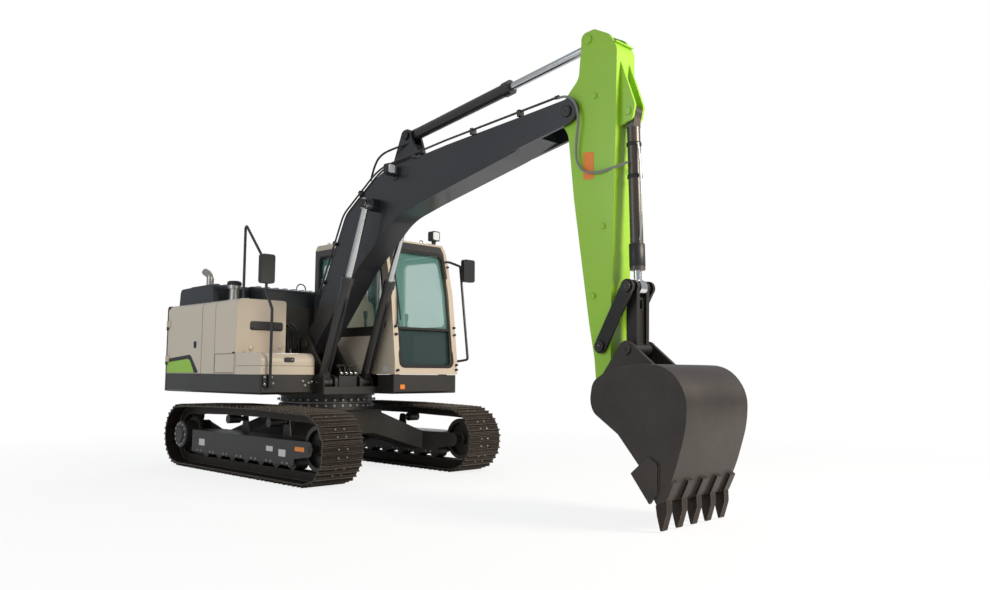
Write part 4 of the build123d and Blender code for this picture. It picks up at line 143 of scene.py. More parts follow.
# Pin caps: piece name, body, place, the faces that carry a cap, and the cap's radius
PIN_CAPS = (
    ("boom_foot_caps", "house", 0.05, 1.50, ((-0.372, -1), (0.032, 1)), 0.06),
    ("boom_cylinder_foot_caps", "house", 0.60, 1.05, ((-0.5385, -1), (0.1985, 1)), 0.045),
    ("boom_cylinder_eye_caps", "boom", 1.39, 3.05, ((-0.523, -1), (0.183, 1)), 0.05),
    ("arm_cylinder_foot_caps", "boom", 1.80, 3.79, ((-0.262, -1), (-0.078, 1)), 0.05),
    ("boom_tip_caps", "arm", 4.19, 3.51, ((-0.3455, -1), (0.0055, 1)), 0.055),
    ("idler_pin_caps", "arm", 4.54, 1.40, ((-0.3455, -1), (0.0055, 1)), 0.045),
    ("bucket_pin_caps", "bucket", 4.56, 1.04, ((-0.337, -1), (-0.003, 1)), 0.05),
    ("link_pin_caps", "bucket", 4.81, 1.37, ((-0.337, -1), (-0.003, 1)), 0.045),
    ("bucket_cylinder_eye_caps", "idler_links", 4.82, 1.89, ((-0.3455, -1), (0.0055, 1)), 0.045),
)

# Directions, and thickness with edge bevel of labels and lamp lenses
UP = (0, 0, 1)
FRONT = (1, 0, 0)
LABEL = (0.0015, 0.0005)
LENS = (0.006, 0.002)


def at(x, y, z):
    """Point given in metres from the slew axis on the ground."""
    return Vector((SLEW_X + x, SLEW_Y + y, z))


def linear(red, green, blue):
    """Linear colour from display values of 0 to 255."""
    out = []
    for value in (red, green, blue):
        share = value / 255
        out.append(share / 12.92 if share <= 0.04045 else ((share + 0.055) / 1.055) ** 2.4)
    return tuple(out)


# Shader expressions
class Value:
    """A socket on which arithmetic adds Math nodes."""

    def __init__(self, shader, socket):
        self.shader = shader
        self.socket = socket

    def _math(self, operation, *others, clamp=False):
        inputs = {index: other for index, other in enumerate((self, *others))}
        return self.shader.node("Math", {"operation": operation, "use_clamp": clamp}, inputs)

    def __add__(self, other):
        return self._math("ADD", other)

    __radd__ = __add__

    def __sub__(self, other):
        return self._math("SUBTRACT", other)

    def __rsub__(self, other):
        return self.shader.node("Math", {"operation": "SUBTRACT"}, {0: other, 1: self})

    def __mul__(self, other):
        return self._math("MULTIPLY", other)

    __rmul__ = __mul__

    def __truediv__(self, other):
        return self._math("DIVIDE", other)

    def __gt__(self, other):
        return self._math("GREATER_THAN", other)

    def __lt__(self, other):
        return self._math("LESS_THAN", other)

    def power(self, other):
        return self._math("POWER", other)

    def wave(self):
        return self._math("SINE")

    def clamped(self):
        return self._math("ADD", 0.0, clamp=True)

    def ramp(self, low, high):
        """0 at low and 1 at high, straight between them."""
        return self.shader.node(
            "MapRange", {"clamp": True}, {"Value": self, "From Min": low, "From Max": high}, "Result"
        )


class Shader:
    """A material or world whose nodes come from one method."""

    def __init__(self, name, kind="Material"):
        store = bpy.data.worlds if kind == "World" else bpy.data.materials
        self.owner = store.new(name)
        self.owner.use_nodes = True
        self.tree = self.owner.node_tree
        self.tree.nodes.clear()
        self.output = self.tree.nodes.new("ShaderNodeOutput" + kind)

    def node(self, kind, settings=None, inputs=None, output=0):
        made = self.tree.nodes.new("ShaderNode" + kind)
        for key, value in (settings or {}).items():
            setattr(made, key, value)
        for key, value in (inputs or {}).items():
            if isinstance(value, Value):
                self.tree.links.new(value.socket, made.inputs[key])
            else:
                made.inputs[key].default_value = value
        return Value(self, made.outputs[output])

    def place(self):
        return self.node("TexCoord", output="Object")

    def axes(self, vector):
        made = self.node("SeparateXYZ", inputs={0: vector})
        outputs = made.socket.node.outputs
        return [Value(self, outputs[index]) for index in range(3)]

    def noise(self, vector, scale, detail=3.0, rough=0.55):
        inputs = {"Vector": vector, "Scale": scale, "Detail": detail, "Roughness": rough}
        return self.node("TexNoise", inputs=inputs)

    def bump(self, strength, distance, height, **normal):
        return self.node("Bump", inputs={"Strength": strength, "Distance": distance, "Height": height, **normal})

    def mix(self, share, first, second):
        """Colour between two, by a share from 0 to 1."""
        values = {}
        for key, colour in ((6, first), (7, second)):
            values[key] = colour if isinstance(colour, Value) else (*colour, 1.0)
        return self.node("Mix", {"data_type": "RGBA"}, {0: share, **values}, 2)

    def edges(self, radius):
        """1 on convex and concave edges within a radius."""
        soft = self.node("Bevel", {"samples": 4}, {"Radius": radius})
        plain = self.node("NewGeometry", output="Normal")
        facing = self.node("VectorMath", {"operation": "DOT_PRODUCT"}, {0: soft, 1: plain}, "Value")
        return soft, (1.0 - facing).ramp(0.015, 0.16)

    def close(self, surface):
        """Joins the last node to the output."""
        self.tree.links.new(surface.socket, self.output.inputs[0])
        return self.owner

    def finish(self, **inputs):
        """Principled surface from its inputs, with underscores for the spaces in their names."""
        values = {key.replace("_", " "): value for key, value in inputs.items()}
        return self.close(self.node("BsdfPrincipled", inputs=values))


DUST = linear(122, 104, 84)
BARE = linear(150, 142, 132)


def darker(colour, share):
    return tuple(part * share for part in colour)


def paint(name, colour, rough=0.35, coat=0.25, dust=0.25, wear=0.3, bare=BARE, grain=0.02, metal=0.0):
    """Sprayed paint with uneven gloss, dust low down and lighter worn edges."""
    made = Shader(name)
    spot = made.place()
    height = made.axes(spot)[2]
    broad = made.noise(spot, 1.7)
    fine = made.noise(spot, 38.0, 4.0)
    soft, rim = made.edges(0.005)
    low = (1.4 - height).ramp(-0.8, 1.4)
    dirt = ((broad * 0.7 + fine * 0.5 - 0.45).clamped() * 1.6 * (low * 0.75 + 0.25) * dust).clamped()
    worn = (rim * (fine * 1.6 - 0.25).clamped() * wear).clamped()
    shade = made.mix(broad * 0.5, colour, darker(colour, 0.86))
    shade = made.mix(dirt, shade, DUST)
    shade = made.mix(worn, shade, bare)
    skin = made.noise(spot, 260.0, 1.0)
    bump = made.bump(0.18, grain * 0.02, skin, Normal=soft)
    return made.finish(
        Base_Color=shade,
        Roughness=(broad * 0.16 + dirt * 0.5 + rough - 0.08).clamped(),
        Metallic=metal,
        Coat_Weight=coat,
        Coat_Roughness=0.12,
        Normal=bump,
    )


def steel(name, colour, light, rough=0.5, metal=0.7, rust=0.4):
    """Bare or worn steel: mottled, with polished edges and a little rust."""
    made = Shader(name)
    spot = made.place()
    broad = made.noise(spot, 3.0, 5.0)
    fine = made.noise(spot, 55.0, 5.0, 0.65)
    soft, rim = made.edges(0.006)
    shade = made.mix(broad.ramp(0.3, 0.7), colour, darker(colour, 0.62))
    shade = made.mix((fine.ramp(0.5, 0.75) * rust).clamped(), shade, linear(96, 62, 40))
    shade = made.mix((rim * (fine + 0.45)).clamped(), shade, light)
    bump = made.bump(0.5, 0.0012, fine, Normal=soft)
    return made.finish(
        Base_Color=shade,
        Roughness=(rough + fine * 0.25 - rim * 0.25 - 0.1).clamped(),
        Metallic=metal,
        Normal=bump,
    )


def chrome(name, colour, rough=0.16):
    """Ground and plated rod with faint lengthwise streaks."""
    made = Shader(name)
    spot = made.place()
    streak = made.noise(spot, 30.0, 2.0)
    return made.finish(
        Base_Color=made.mix(streak * 0.5, colour, darker(colour, 0.75)),
        Roughness=(streak * 0.16 + rough - 0.05).clamped(),
        Metallic=1.0,
    )


def glass(name, colour, clear=0.55):
    """Tinted pane, partly see-through, with painted shade: below 1.705 m it is darker and less clear, standing
    for the dim cab inside.
    """
    made = Shader(name)
    spot = made.place()
    haze = made.noise(spot, 2.5, 3.0)
    # painted shade: panes below this height are darkened and made less clear
    low = made.axes(spot)[2] < 1.705
    shade = made.mix(haze * 0.4, colour, darker(colour, 0.7))
    return made.finish(
        Base_Color=made.mix(low, shade, darker(colour, 0.10)),
        Roughness=haze * 0.05 + 0.02,
        Metallic=0.0,
        Alpha=haze * 0.06 + low * 0.42 + clear,
        Coat_Weight=0.6,
        Coat_Roughness=0.03,
    )


def moulded(name, colour, rough=0.55, grain=0.0006, scale=420.0):
    """Moulded plastic or rubber with a fine leathery grain."""
    made = Shader(name)
    spot = made.place()
    broad = made.noise(spot, 4.0)
    fine = made.noise(spot, scale, 2.0)
    soft, rim = made.edges(0.004)
    bump = made.bump(0.4, grain, fine, Normal=soft)
    shade = made.mix(broad * 0.5, colour, darker(colour, 0.7))
    shade = made.mix((rim * 0.25).clamped(), shade, tuple(min(1.0, part * 1.8 + 0.02) for part in colour))
    return made.finish(Base_Color=shade, Roughness=(fine * 0.2 + rough - 0.1).clamped(), Normal=bump)


def cloth(name, colour):
    """Woven seat cover."""
    made = Shader(name)
    spot = made.place()
    across, along, up = made.axes(spot)
    weave = (along * 1800.0).wave() * ((up + across) * 1800.0).wave()
    broad = made.noise(spot, 9.0)
    bump = made.bump(0.5, 0.0008, weave)
    shade = made.mix(broad * 0.6, colour, darker(colour, 0.7))
    return made.finish(Base_Color=shade, Roughness=broad * 0.1 + 0.8, Normal=bump)


def cab_paint_painted_shade(name, light, dark):
    """Cab paint in the light colour on faces counted as lit, with painted shade in the dark colour on the right
    rear corner and the inside faces.
    """
    made = Shader(name)
    spot = made.place()
    x, y, z = made.axes(spot)
    broad = made.noise(spot, 1.7)
    soft, rim = made.edges(0.006)
    # painted light: faces to the front, on the roof, on the left outer side and low on the right count as lit;
    # the rest gets painted shade
    front = x > SLEW_X + 0.70
    roof = z > 2.79
    lower = (z < 1.62) * (x > SLEW_X - 0.60)
    outer = y > SLEW_Y + 1.185
    right = y < SLEW_Y + 0.23
    lit = (front + roof + outer + right * lower).clamped()
    # painted shade on the faces inside the cab
    inner = (x < SLEW_X + 0.93) * (y > SLEW_Y + 0.262) * (y < SLEW_Y + 1.168) * (z < 2.80) * (z > 1.19)
    share = (lit * (1.0 - inner)).clamped()
    # painted light and shade: light colour on lit faces, dark colour on the others
    shade = made.mix(share, dark, light)
    shade = made.mix(broad * 0.25, shade, DUST)
    bump = made.bump(0.15, 0.0004, broad, Normal=soft)
    return made.finish(
        Base_Color=made.mix((rim * 0.12).clamped(), shade, BARE),
        Roughness=broad * 0.15 + 0.3,
        Coat_Weight=0.3,
        Coat_Roughness=0.12,
        Normal=bump,
    )


def material_set(look):
    """Every material, made once from the colours that the panel holds."""
    body = tuple(look.body)
    dark = tuple(look.dark)
    frame_dark = linear(31, 29, 26)
    return {
        "body": paint("body_paint", body, 0.32, 0.35, 0.06, 0.08),
        # bulkhead: body colour on lit faces, near black as painted shade elsewhere
        "bulkhead": cab_paint_painted_shade("bulkhead_paint_painted_shade", body, linear(26, 26, 27)),
        "dark": paint("boom_paint", dark, 0.36, 0.35, 0.10, 0.15, linear(120, 122, 126)),
        "lime": paint("arm_paint", tuple(look.accent), 0.34, 0.3, 0.05, 0.10, linear(196, 226, 120)),
        "deck": paint("deck_paint", frame_dark, 0.42, 0.2, 0.16, 0.2),
        "weight": paint("counterweight_paint", linear(62, 61, 61), 0.48, 0.12, 0.2, 0.25, grain=0.2),
        "under": paint("undercarriage_paint", linear(30, 29, 27), 0.46, 0.15, 0.22, 0.3, grain=0.15),
        "track": steel("track_steel", linear(46, 40, 35), linear(168, 156, 140), 0.5, 0.55, rust=0.28),
        "bucket": steel("bucket_steel", linear(56, 51, 48), linear(112, 102, 92), 0.42, 0.35, rust=0.12),
        "tooth": steel("tooth_steel", linear(40, 34, 29), linear(140, 128, 112), 0.42, 0.5),
        "link": steel("link_steel", linear(30, 29, 28), linear(100, 94, 86), 0.46, 0.3, rust=0.06),
        "cylinder": paint("cylinder_paint", linear(34, 33, 33), 0.36, 0.25, 0.12, 0.2),
        "bronze": paint("bronze_paint", linear(74, 68, 62), 0.34, 0.25, 0.15, 0.2, metal=0.35),
        "chrome": chrome("rod_chrome", linear(205, 207, 208)),
        "pipe": chrome("pipe_steel", linear(176, 174, 168), 0.28),
        "cast": steel("cast_metal", linear(118, 118, 116), linear(170, 170, 168), 0.5, 0.5, rust=0.08),
        "black": moulded("black_moulding", linear(26, 27, 29), 0.45),
        "hood": moulded("hood_moulding", linear(36, 40, 47), 0.4, 0.0003, 160.0),
        "rubber": moulded("rubber", linear(24, 23, 22), 0.7),
        "hose": moulded("hose_rubber", linear(20, 20, 21), 0.5, 0.0004, 260.0),
        "grey_hose": moulded("grey_hose", linear(132, 134, 132), 0.55, 0.0004, 300.0),
        "glass": glass("cab_glass_tint_painted_shade", linear(128, 186, 178), 0.26),
        "bolt": steel("bolt_steel", linear(168, 166, 160), linear(215, 214, 210), 0.34, 0.8, rust=0.1),
        "pin": steel("pin_steel", linear(52, 50, 48), linear(120, 116, 110), 0.42, 0.5, rust=0.1),
        "lamp": moulded("lamp_housing", linear(30, 31, 33), 0.4),
        "mirror": chrome("mirror_glass", linear(190, 200, 205), 0.05),
        "stripe": paint("side_stripe", tuple(look.accent), 0.34, 0.3, 0.05, 0.05),
        "cloth": cloth("seat_cloth", linear(196, 184, 158)),
        "lens": paint("lamp_lens", linear(225, 228, 232), 0.12, 0.8, 0.0, 0.0),
        "orange": paint("marker_orange", linear(238, 132, 34), 0.4, 0.1, 0.1, 0.1),
        "pale": paint("blank_plate", linear(208, 206, 200), 0.4, 0.1, 0.1, 0.1),
        "rail": paint("rail_paint", linear(30, 30, 31), 0.4, 0.2, 0.1, 0.15),
        # cab: body colour on lit faces, near black as painted shade elsewhere
        "cab": cab_paint_painted_shade("cab_paint_painted_shade", body, linear(30, 31, 33)),
    }


NODE_LOOKS = {
    "bulkhead": "body_frame",
    "body": "hydraulic_tank fuel_tank toolbox toolbox_lid left_side_door right_side_door",
    "dark": "boom",
    "lamp": "boom_lamp roof_lamp",
    "lime": "arm",
    "deck": "upper_frame slew_ring_outer",
    "weight": "counterweight",
    "under": "car_body track_frame_left track_frame_right sprocket_left sprocket_right idler_left idler_right"
    " rollers_left rollers_right",
    "track": "track_left track_right",
    "bucket": "bucket",
    "tooth": "bucket_teeth",
    "link": "idler_links bucket_link",
    "cylinder": "boom_cylinder_tube arm_cylinder_tube boom_tubes",
    "bronze": "bucket_cylinder_tube",
    "chrome": "boom_cylinder_rod arm_cylinder_rod bucket_cylinder_rod",
    "pipe": "exhaust air_cleaner slew_ring_inner",
    "cast": "engine_block control_valve",
    "black": "slew_motor cooler_pack cab_controls mirrors tank_step",
    "hood": "engine_hood pump_cover",
    "glass": "cab_glass cab_door_glass",
    "cloth": "seat",
    "rail": "handrails front_manifold",
    "cab": "cab_shell cab_door",
}


class LookSettings(bpy.types.PropertyGroup):
    """Paint colours of the machine."""

    body: FloatVectorProperty(
        name="Body", description="Body panels", subtype="COLOR", default=linear(208, 194, 174), min=0, max=1
    )
    dark: FloatVectorProperty(
        name="Boom", description="Boom", subtype="COLOR", default=linear(24, 27, 33), min=0, max=1
    )
    accent: FloatVectorProperty(
        name="Arm", description="Arm and stripes", subtype="COLOR", default=linear(150, 200, 46), min=0, max=1
    )


class StageSettings(bpy.types.PropertyGroup):
    """Light and camera."""

    lens: FloatProperty(name="Lens", description="Camera lens in mm", default=29.98, min=10, max=200)
    key: FloatProperty(name="Key light", description="Strength of the key light", default=3.2, min=0, max=20)
    fill: FloatProperty(name="Fill", description="Surrounding light", default=0.5, min=0, max=5)


def looks():
    """Materials by plain name, made at first use."""
    if not MATERIALS:
        MATERIALS.update(material_set(bpy.context.scene.machine_look))
    return MATERIALS


MATERIALS = {}


# Mesh building
def side_plane(y, outward):
    """Places (x, z) points on an upright face that looks along y."""
    return lambda u, v, out=0.0: at(u, y + outward * out, v)


def front_plane(x, outward=1):
    """Places (y, z) points on an upright face that looks along x."""
    return lambda u, v, out=0.0: at(x + outward * out, u, v)


def top_plane(z, outward=1):
    """Places (x, y) points on a level face."""
    return lambda u, v, out=0.0: at(u, v, z + outward * out)


def cab_front_plane(u, v, out=0.0):
    """Places (y, z) points on the cab's leaning front."""
    for (x_low, z_low), (x_high, z_high) in zip(CAB_FRONT_LINE, CAB_FRONT_LINE[1:]):
        if v <= z_high or (x_high, z_high) == CAB_FRONT_LINE[-1]:
            share = (v - z_low) / (z_high - z_low)
            return at(x_low + share * (x_high - x_low) + out, u, v)


def rounded(corners, radius, steps=5):
    """Outline with every corner rounded."""
    points = []
    count = len(corners)
    for index, corner in enumerate(corners):
        here = Vector(corner)
        back = (Vector(corners[index - 1]) - here).normalized()
        ahead = (Vector(corners[(index + 1) % count]) - here).normalized()
        half = max(0.05, back.angle(ahead) / 2)
        reach = radius / math.tan(half)
        start = here + back * reach
        end = here + ahead * reach
        for step in range(steps + 1):
            share = step / steps
            points.append((1 - share) ** 2 * start + 2 * share * (1 - share) * here + share**2 * end)
    return points


def card(corners, radius, steps=5):
    """Rectangle with rounded corners from its low and high sides."""
    low_u, high_u, low_v, high_v = corners
    return rounded([(low_u, low_v), (high_u, low_v), (high_u, high_v), (low_u, high_v)], radius, steps)


def plate(work, plane, outline, thickness, bevel=0.001, base=0.0):
    """Flat plate on a plane with its outer edge eased."""
    rings = []
    middle = sum(outline, Vector((0.0, 0.0))) / len(outline)
    for out, inset in ((base, 0.0), (base + thickness - bevel, 0.0), (base + thickness, bevel)):
        ring = []
        for point in outline:
            away = point - middle
            drawn = point - away.normalized() * inset
            ring.append(work.verts.new(plane(drawn.x, drawn.y, out)))
        rings.append(ring)
    join_rings(work, rings)
    work.faces.new(rings[0][::-1])
    work.faces.new(rings[-1])


def band(work, plane, outer, inner, thickness):
    """Border between two outlines that have the same number of points."""
    rings = []
    shoulder = thickness * 0.7
    crest = [(one * 0.5 + other * 0.5) for one, other in zip(outer, inner)]
    steps = ((outer, 0.0), (outer, shoulder), (crest, thickness), (inner, shoulder), (inner, 0.0))
    for outline, out in steps:
        rings.append([work.verts.new(plane(point.x, point.y, out)) for point in outline])
    join_rings(work, rings + rings[:1])


def join_rings(work, rings):
    for first, second in zip(rings, rings[1:]):
        for index in range(len(first)):
            after = (index + 1) % len(first)
            work.faces.new((first[index], first[after], second[after], second[index]))


def turned(work, centre, axis, profile, sides=20):
    """Revolved form from (radius, height) pairs along an axis."""
    axis = Vector(axis).normalized()
    across = axis.orthogonal().normalized()
    other = axis.cross(across)
    rings = []
    for radius, height in profile:
        ring = []
        for side in range(sides):
            angle = 2 * math.pi * side / sides
            way = across * math.cos(angle) + other * math.sin(angle)
            ring.append(work.verts.new(centre + axis * height + way * radius))
        rings.append(ring)
    join_rings(work, rings)
    work.faces.new(rings[0][::-1])
    work.faces.new(rings[-1])


def bolt(work, centre, axis, size=0.012):
    """Hexagon head on its washer."""
    turned(work, centre, axis, ((size * 1.25, 0.0), (size * 1.25, size * 0.16), (size * 1.1, size * 0.2)), 16)
    turned(work, centre, axis, ((size, size * 0.2), (size, size * 0.72), (size * 0.82, size * 0.85)), 6)


def piece(name, body, look, build, smooth=False):
    """One finished mesh that rides on a body."""
    work = bmesh.new()
    build(work)
    bmesh.ops.recalc_face_normals(work, faces=work.faces)
    mesh = bpy.data.meshes.new(name)
    work.to_mesh(mesh)
    work.free()
    for polygon in mesh.polygons:
        polygon.use_smooth = smooth
    mesh.materials.append(looks()[look])
    made = bpy.data.objects.new(name, mesh)
    bpy.context.scene.collection.objects.link(made)
    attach(made, body)
    return made


def tube(name, body, look, runs, radius, blend_to=None, start=None, end=None):
    """Bent pipes or hoses through the points of each run."""
    curve = bpy.data.curves.new(name, "CURVE")
    curve.dimensions = "3D"
    curve.resolution_u = 6
    curve.bevel_depth = radius
    curve.bevel_resolution = 3
    curve.use_fill_caps = True
    for points in runs:
        spline = curve.splines.new("NURBS")
        spline.points.add(len(points) - 1)
        for place, point in zip(spline.points, points):
            place.co = (*point, 1.0)
        spline.order_u = 3
        spline.use_endpoint_u = True
    made = bpy.data.objects.new(name, curve)
    bpy.context.scene.collection.objects.link(made)
    mesh = bpy.data.meshes.new_from_object(made)
    bpy.data.objects.remove(made)
    mesh.name = name
    for polygon in mesh.polygons:
        polygon.use_smooth = True
    mesh.materials.clear()
    mesh.materials.append(looks()[look])
    solid = bpy.data.objects.new(name, mesh)
    bpy.context.scene.collection.objects.link(solid)
    if blend_to:
        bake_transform(solid)
    else:
        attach(solid, body)
    return solid


def along(foot, eye, reach, out, y):
    """Point beside a cylinder: reach along it from its foot, and out to its upper side."""
    start = Vector(foot)
    way = (Vector(eye) - start).normalized()
    spot = start + way * reach + Vector((-way.y, way.x)) * out
    return at(spot.x, y, spot.y)


def wheel_point(centre_x, angle):
    """Point of the pin line where it wraps a sprocket or an idler."""
    return Vector((centre_x + CHAIN_RADIUS * math.cos(angle), TUMBLER_Z + CHAIN_RADIUS * math.sin(angle)))


def loop_point(travel):
    """Point on the chain's pin line, measured from the sprocket's rearmost point."""
    quarter = math.pi / 2 * CHAIN_RADIUS
    run = 2 * TUMBLER_X
    if travel < quarter:
        return wheel_point(-TUMBLER_X, math.pi + travel / CHAIN_RADIUS)
    travel -= quarter
    if travel < run:
        return Vector((-TUMBLER_X + travel, TUMBLER_Z - CHAIN_RADIUS))
    travel -= run
    if travel < 2 * quarter:
        return wheel_point(TUMBLER_X, -math.pi / 2 + travel / CHAIN_RADIUS)
    travel -= 2 * quarter
    for start, end in zip(UPPER_RUN, UPPER_RUN[1:]):
        length = (end - start).length
        if travel < length:
            return start.lerp(end, travel / length)
        travel -= length
    return wheel_point(-TUMBLER_X, math.pi / 2 + travel / CHAIN_RADIUS)


UPPER_RUN = [
    Vector((TUMBLER_X, TUMBLER_Z + CHAIN_RADIUS)),
    Vector((CARRIER_X, TUMBLER_Z + CHAIN_RADIUS + CARRIER_RISE)),
    Vector((-CARRIER_X, TUMBLER_Z + CHAIN_RADIUS + CARRIER_RISE)),
    Vector((-TUMBLER_X, TUMBLER_Z + CHAIN_RADIUS)),
]
UPPER_LENGTH = sum((end - start).length for start, end in zip(UPPER_RUN, UPPER_RUN[1:]))
LOOP_LENGTH = 2 * math.pi * CHAIN_RADIUS + 2 * TUMBLER_X + UPPER_LENGTH
SHOE_PITCH = LOOP_LENGTH / SHOE_COUNT
PIN_PHASE = (math.pi / 2 * CHAIN_RADIUS + 2 * TUMBLER_X) % SHOE_PITCH


def shoe_place(index):
    """Middle of a shoe's link with its forward and outward directions."""
    start = loop_point(PIN_PHASE + (index % SHOE_COUNT) * SHOE_PITCH)
    end = loop_point(PIN_PHASE + ((index + 1) % SHOE_COUNT) * SHOE_PITCH)
    forward = (end - start).normalized()
    return (start + end) / 2, forward, Vector((forward.y, -forward.x))


def cushion(name, centre, half, lean, seams):
    """Crowned pad with pulled-in sides and sewn channels along its length."""
    work = bmesh.new()
    bmesh.ops.create_cube(work, size=2.0)
    bmesh.ops.subdivide_edges(work, edges=work.edges, cuts=19, use_grid_fill=True)
    thin = min(range(3), key=lambda axis: half[axis])
    for vertex in work.verts:
        place = vertex.co.copy()
        power = sum(abs(value) ** 5 for value in place) ** 0.2
        place = place * (max(abs(value) for value in place) / max(power, 1e-6))
        crown = (1 - abs(place.y) ** 2.5) * (1 - abs(place[(thin + 2) % 3 if thin == 0 else 0]) ** 2.5)
        dent = sum(math.exp(-(((abs(place.y) - seam) / 0.03) ** 2)) for seam in (0.36, 0.74)[:seams])
        spot = Vector(place[axis] * half[axis] for axis in range(3))
        if place[thin] > 0.2:
            spot[thin] += half[thin] * (0.28 * crown - 0.22 * dent)
        spot.x += spot.z * math.sin(lean)
        vertex.co = at(*centre) + spot
    mesh = bpy.data.meshes.new(name)
    work.to_mesh(mesh)
    work.free()
    for polygon in mesh.polygons:
        polygon.use_smooth = True
    mesh.materials.append(looks()["cloth"])
    made = bpy.data.objects.new(name, mesh)
    bpy.context.scene.collection.objects.link(made)
    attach(made, "house")
    return made


class NodeMaterials(bpy.types.Operator):
    """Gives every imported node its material"""

    bl_idname = "excavator.node_materials"
    bl_label = "Node materials"

    def execute(self, context):
        for look, names in NODE_LOOKS.items():
            for name in names.split():
                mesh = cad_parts[name].data
                mesh.materials.clear()
                mesh.materials.append(looks()[look])
        return {"FINISHED"}


def plates(name, body, look, plane, outlines, thickness, bevel=0.001):
    """Piece made of flat plates on one plane."""

    def build(work):
        for outline in outlines:
            plate(work, plane, outline, thickness, bevel)

    return piece(name, body, look, build)


def border(name, plane, outer, inner, thickness):
    """Rubber border round a window of the cab."""
    return piece(name, "house", "rubber", lambda work: band(work, plane, outer, inner, thickness))


def turnings(name, body, look, spots, axis, profile, sides, smooth=True):
    """Piece made of like revolved forms that point one way."""

    def build(work):
        for spot in spots:
            turned(work, spot, axis, profile, sides)

    return piece(name, body, look, build, smooth)


def wheel_bolts(work, hub, side, count, radius, phase, size):
    """Ring of bolts on a hub that looks to one side."""
    for step in range(count):
        angle = 2 * math.pi * step / count + phase
        bolt(work, hub + Vector((math.cos(angle), 0.0, math.sin(angle))) * radius, (0, side, 0), size)


def cylinder_pipe(name, body, look, cylinder, y, steps, radius):
    """Pipe beside a cylinder through (reach, out) steps."""
    tube(name, body, look, [[along(*cylinder, reach, out, y) for reach, out in steps]], radius)


def shoe_bolts(work):
    for side in SIDES:
        for index in range(SHOE_COUNT):
            middle, forward, outward = shoe_place(index)
            axis = Vector((outward[0], 0.0, outward[1]))
            for ahead in (-0.24, 0.24):
                for across in (-0.052, 0.052):
                    spot = at(
                        middle[0] + forward[0] * ahead * LINK_PITCH + outward[0] * SHOE_OUT,
                        side + across,
                        middle[1] + forward[1] * ahead * LINK_PITCH + outward[1] * SHOE_OUT,
                    )
                    turned(work, spot, axis, ((0.011, 0.0), (0.011, 0.007), (0.009, 0.009)), 6)


def frame_bolts(work):
    for side in SIDES:
        for hand in SIDES:
            face = side + hand * FRAME_HALF
            for roller in range(-3, 4):
                for ahead in (-0.045, 0.045):
                    bolt(work, at(roller * ROLLER_PITCH + ahead, face, ROLLER_BOLT_Z), (0, hand, 0), 0.011)
        hub = at(-TUMBLER_X, side * 1.0 + side * 0.205, TUMBLER_Z)
        wheel_bolts(work, hub, side, 12, 0.135, 0.0, 0.012)
        wheel_bolts(work, hub, side, 4, 0.06, 0.4, 0.009)


def hub_covers(work):
    for side in SIDES:
        hub = at(-TUMBLER_X, side * 1.205, TUMBLER_Z)
        turned(work, hub, (0, side, 0), ((0.1, 0.0), (0.098, 0.008), (0.09, 0.012), (0.03, 0.012)), 40)
        idler = at(TUMBLER_X, side * 1.156, TUMBLER_Z)
        turned(work, idler, (0, side, 0), ((0.05, 0.0), (0.048, 0.01), (0.04, 0.014), (0.012, 0.014)), 32)


class TrackBolts(bpy.types.Operator):
    """Bolts that hold the shoes, the rollers and the final drives"""

    bl_idname = "excavator.track_bolts"
    bl_label = "Track bolts"

    def execute(self, context):
        piece("shoe_bolts", "undercarriage", "bolt", shoe_bolts)
        piece("frame_bolts", "undercarriage", "bolt", frame_bolts)
        piece("hub_covers", "undercarriage", "under", hub_covers, True)
        for name, look, outlines in (
            ("frame_plates", "pale", [card(corners, 0.008) for corners in FRAME_LABELS]),
            ("frame_stripes", "orange", [card(FRAME_STRIPE, 0.01)]),
        ):

            def build(work, outlines=outlines):
                for side in SIDES:
                    for outline in outlines:
                        plate(work, side_plane(side * (1.0 + FRAME_HALF), side), outline, *LABEL)

            piece(name, "undercarriage", look, build)
        return {"FINISHED"}


class RingBolts(bpy.types.Operator):
    """Two rows of bolts on the slewing ring"""

    bl_idname = "excavator.ring_bolts"
    bl_label = "Slewing ring bolts"

    def execute(self, context):
        for name, body, height, radius in (
            ("upper_ring_bolts", "house", 0.845, 0.59),
            ("lower_ring_bolts", "undercarriage", 0.775, 0.575),
        ):

            def build(work, height=height, radius=radius):
                for step in range(36):
                    angle = 2 * math.pi * (step + 0.5) / 36
                    spot = at(radius * math.cos(angle), radius * math.sin(angle), height)
                    bolt(work, spot, (math.cos(angle), math.sin(angle), 0), 0.014)

            piece(name, body, "bolt", build)
        return {"FINISHED"}


def tank_tops(work):
    for x, y, profile in (
        (-0.30, -1.0, ((0.06, 0.0), (0.06, 0.02), (0.05, 0.028), (0.02, 0.03))),
        (-0.71, -0.78, ((0.05, 0.0), (0.05, 0.016), (0.04, 0.024), (0.02, 0.026))),
    ):
        turned(work, at(x, y, HOUSE_TOP), UP, profile, 28)


def house_bolts(work):
    for y, z in ((-1.199, 1.115), (-1.111, 1.115), (-1.196, 1.036), (-1.094, 1.045)):
        bolt(work, at(DECK_X + 0.020, y, z), FRONT, 0.012)
    for y, z in ((-0.70, 1.07), (-0.672, 1.02), (-0.62, 1.048), (-0.58, 1.059)):
        bolt(work, at(DECK_X, y, z), FRONT, 0.013)
    for x in (-1.50, -1.2):
        bolt(work, at(x, -1.05, 2.035), UP, 0.01)
    for x in (-1.70, -1.05):
        bolt(work, at(x, -1.02, 2.16), (0, -1, 0), 0.011)


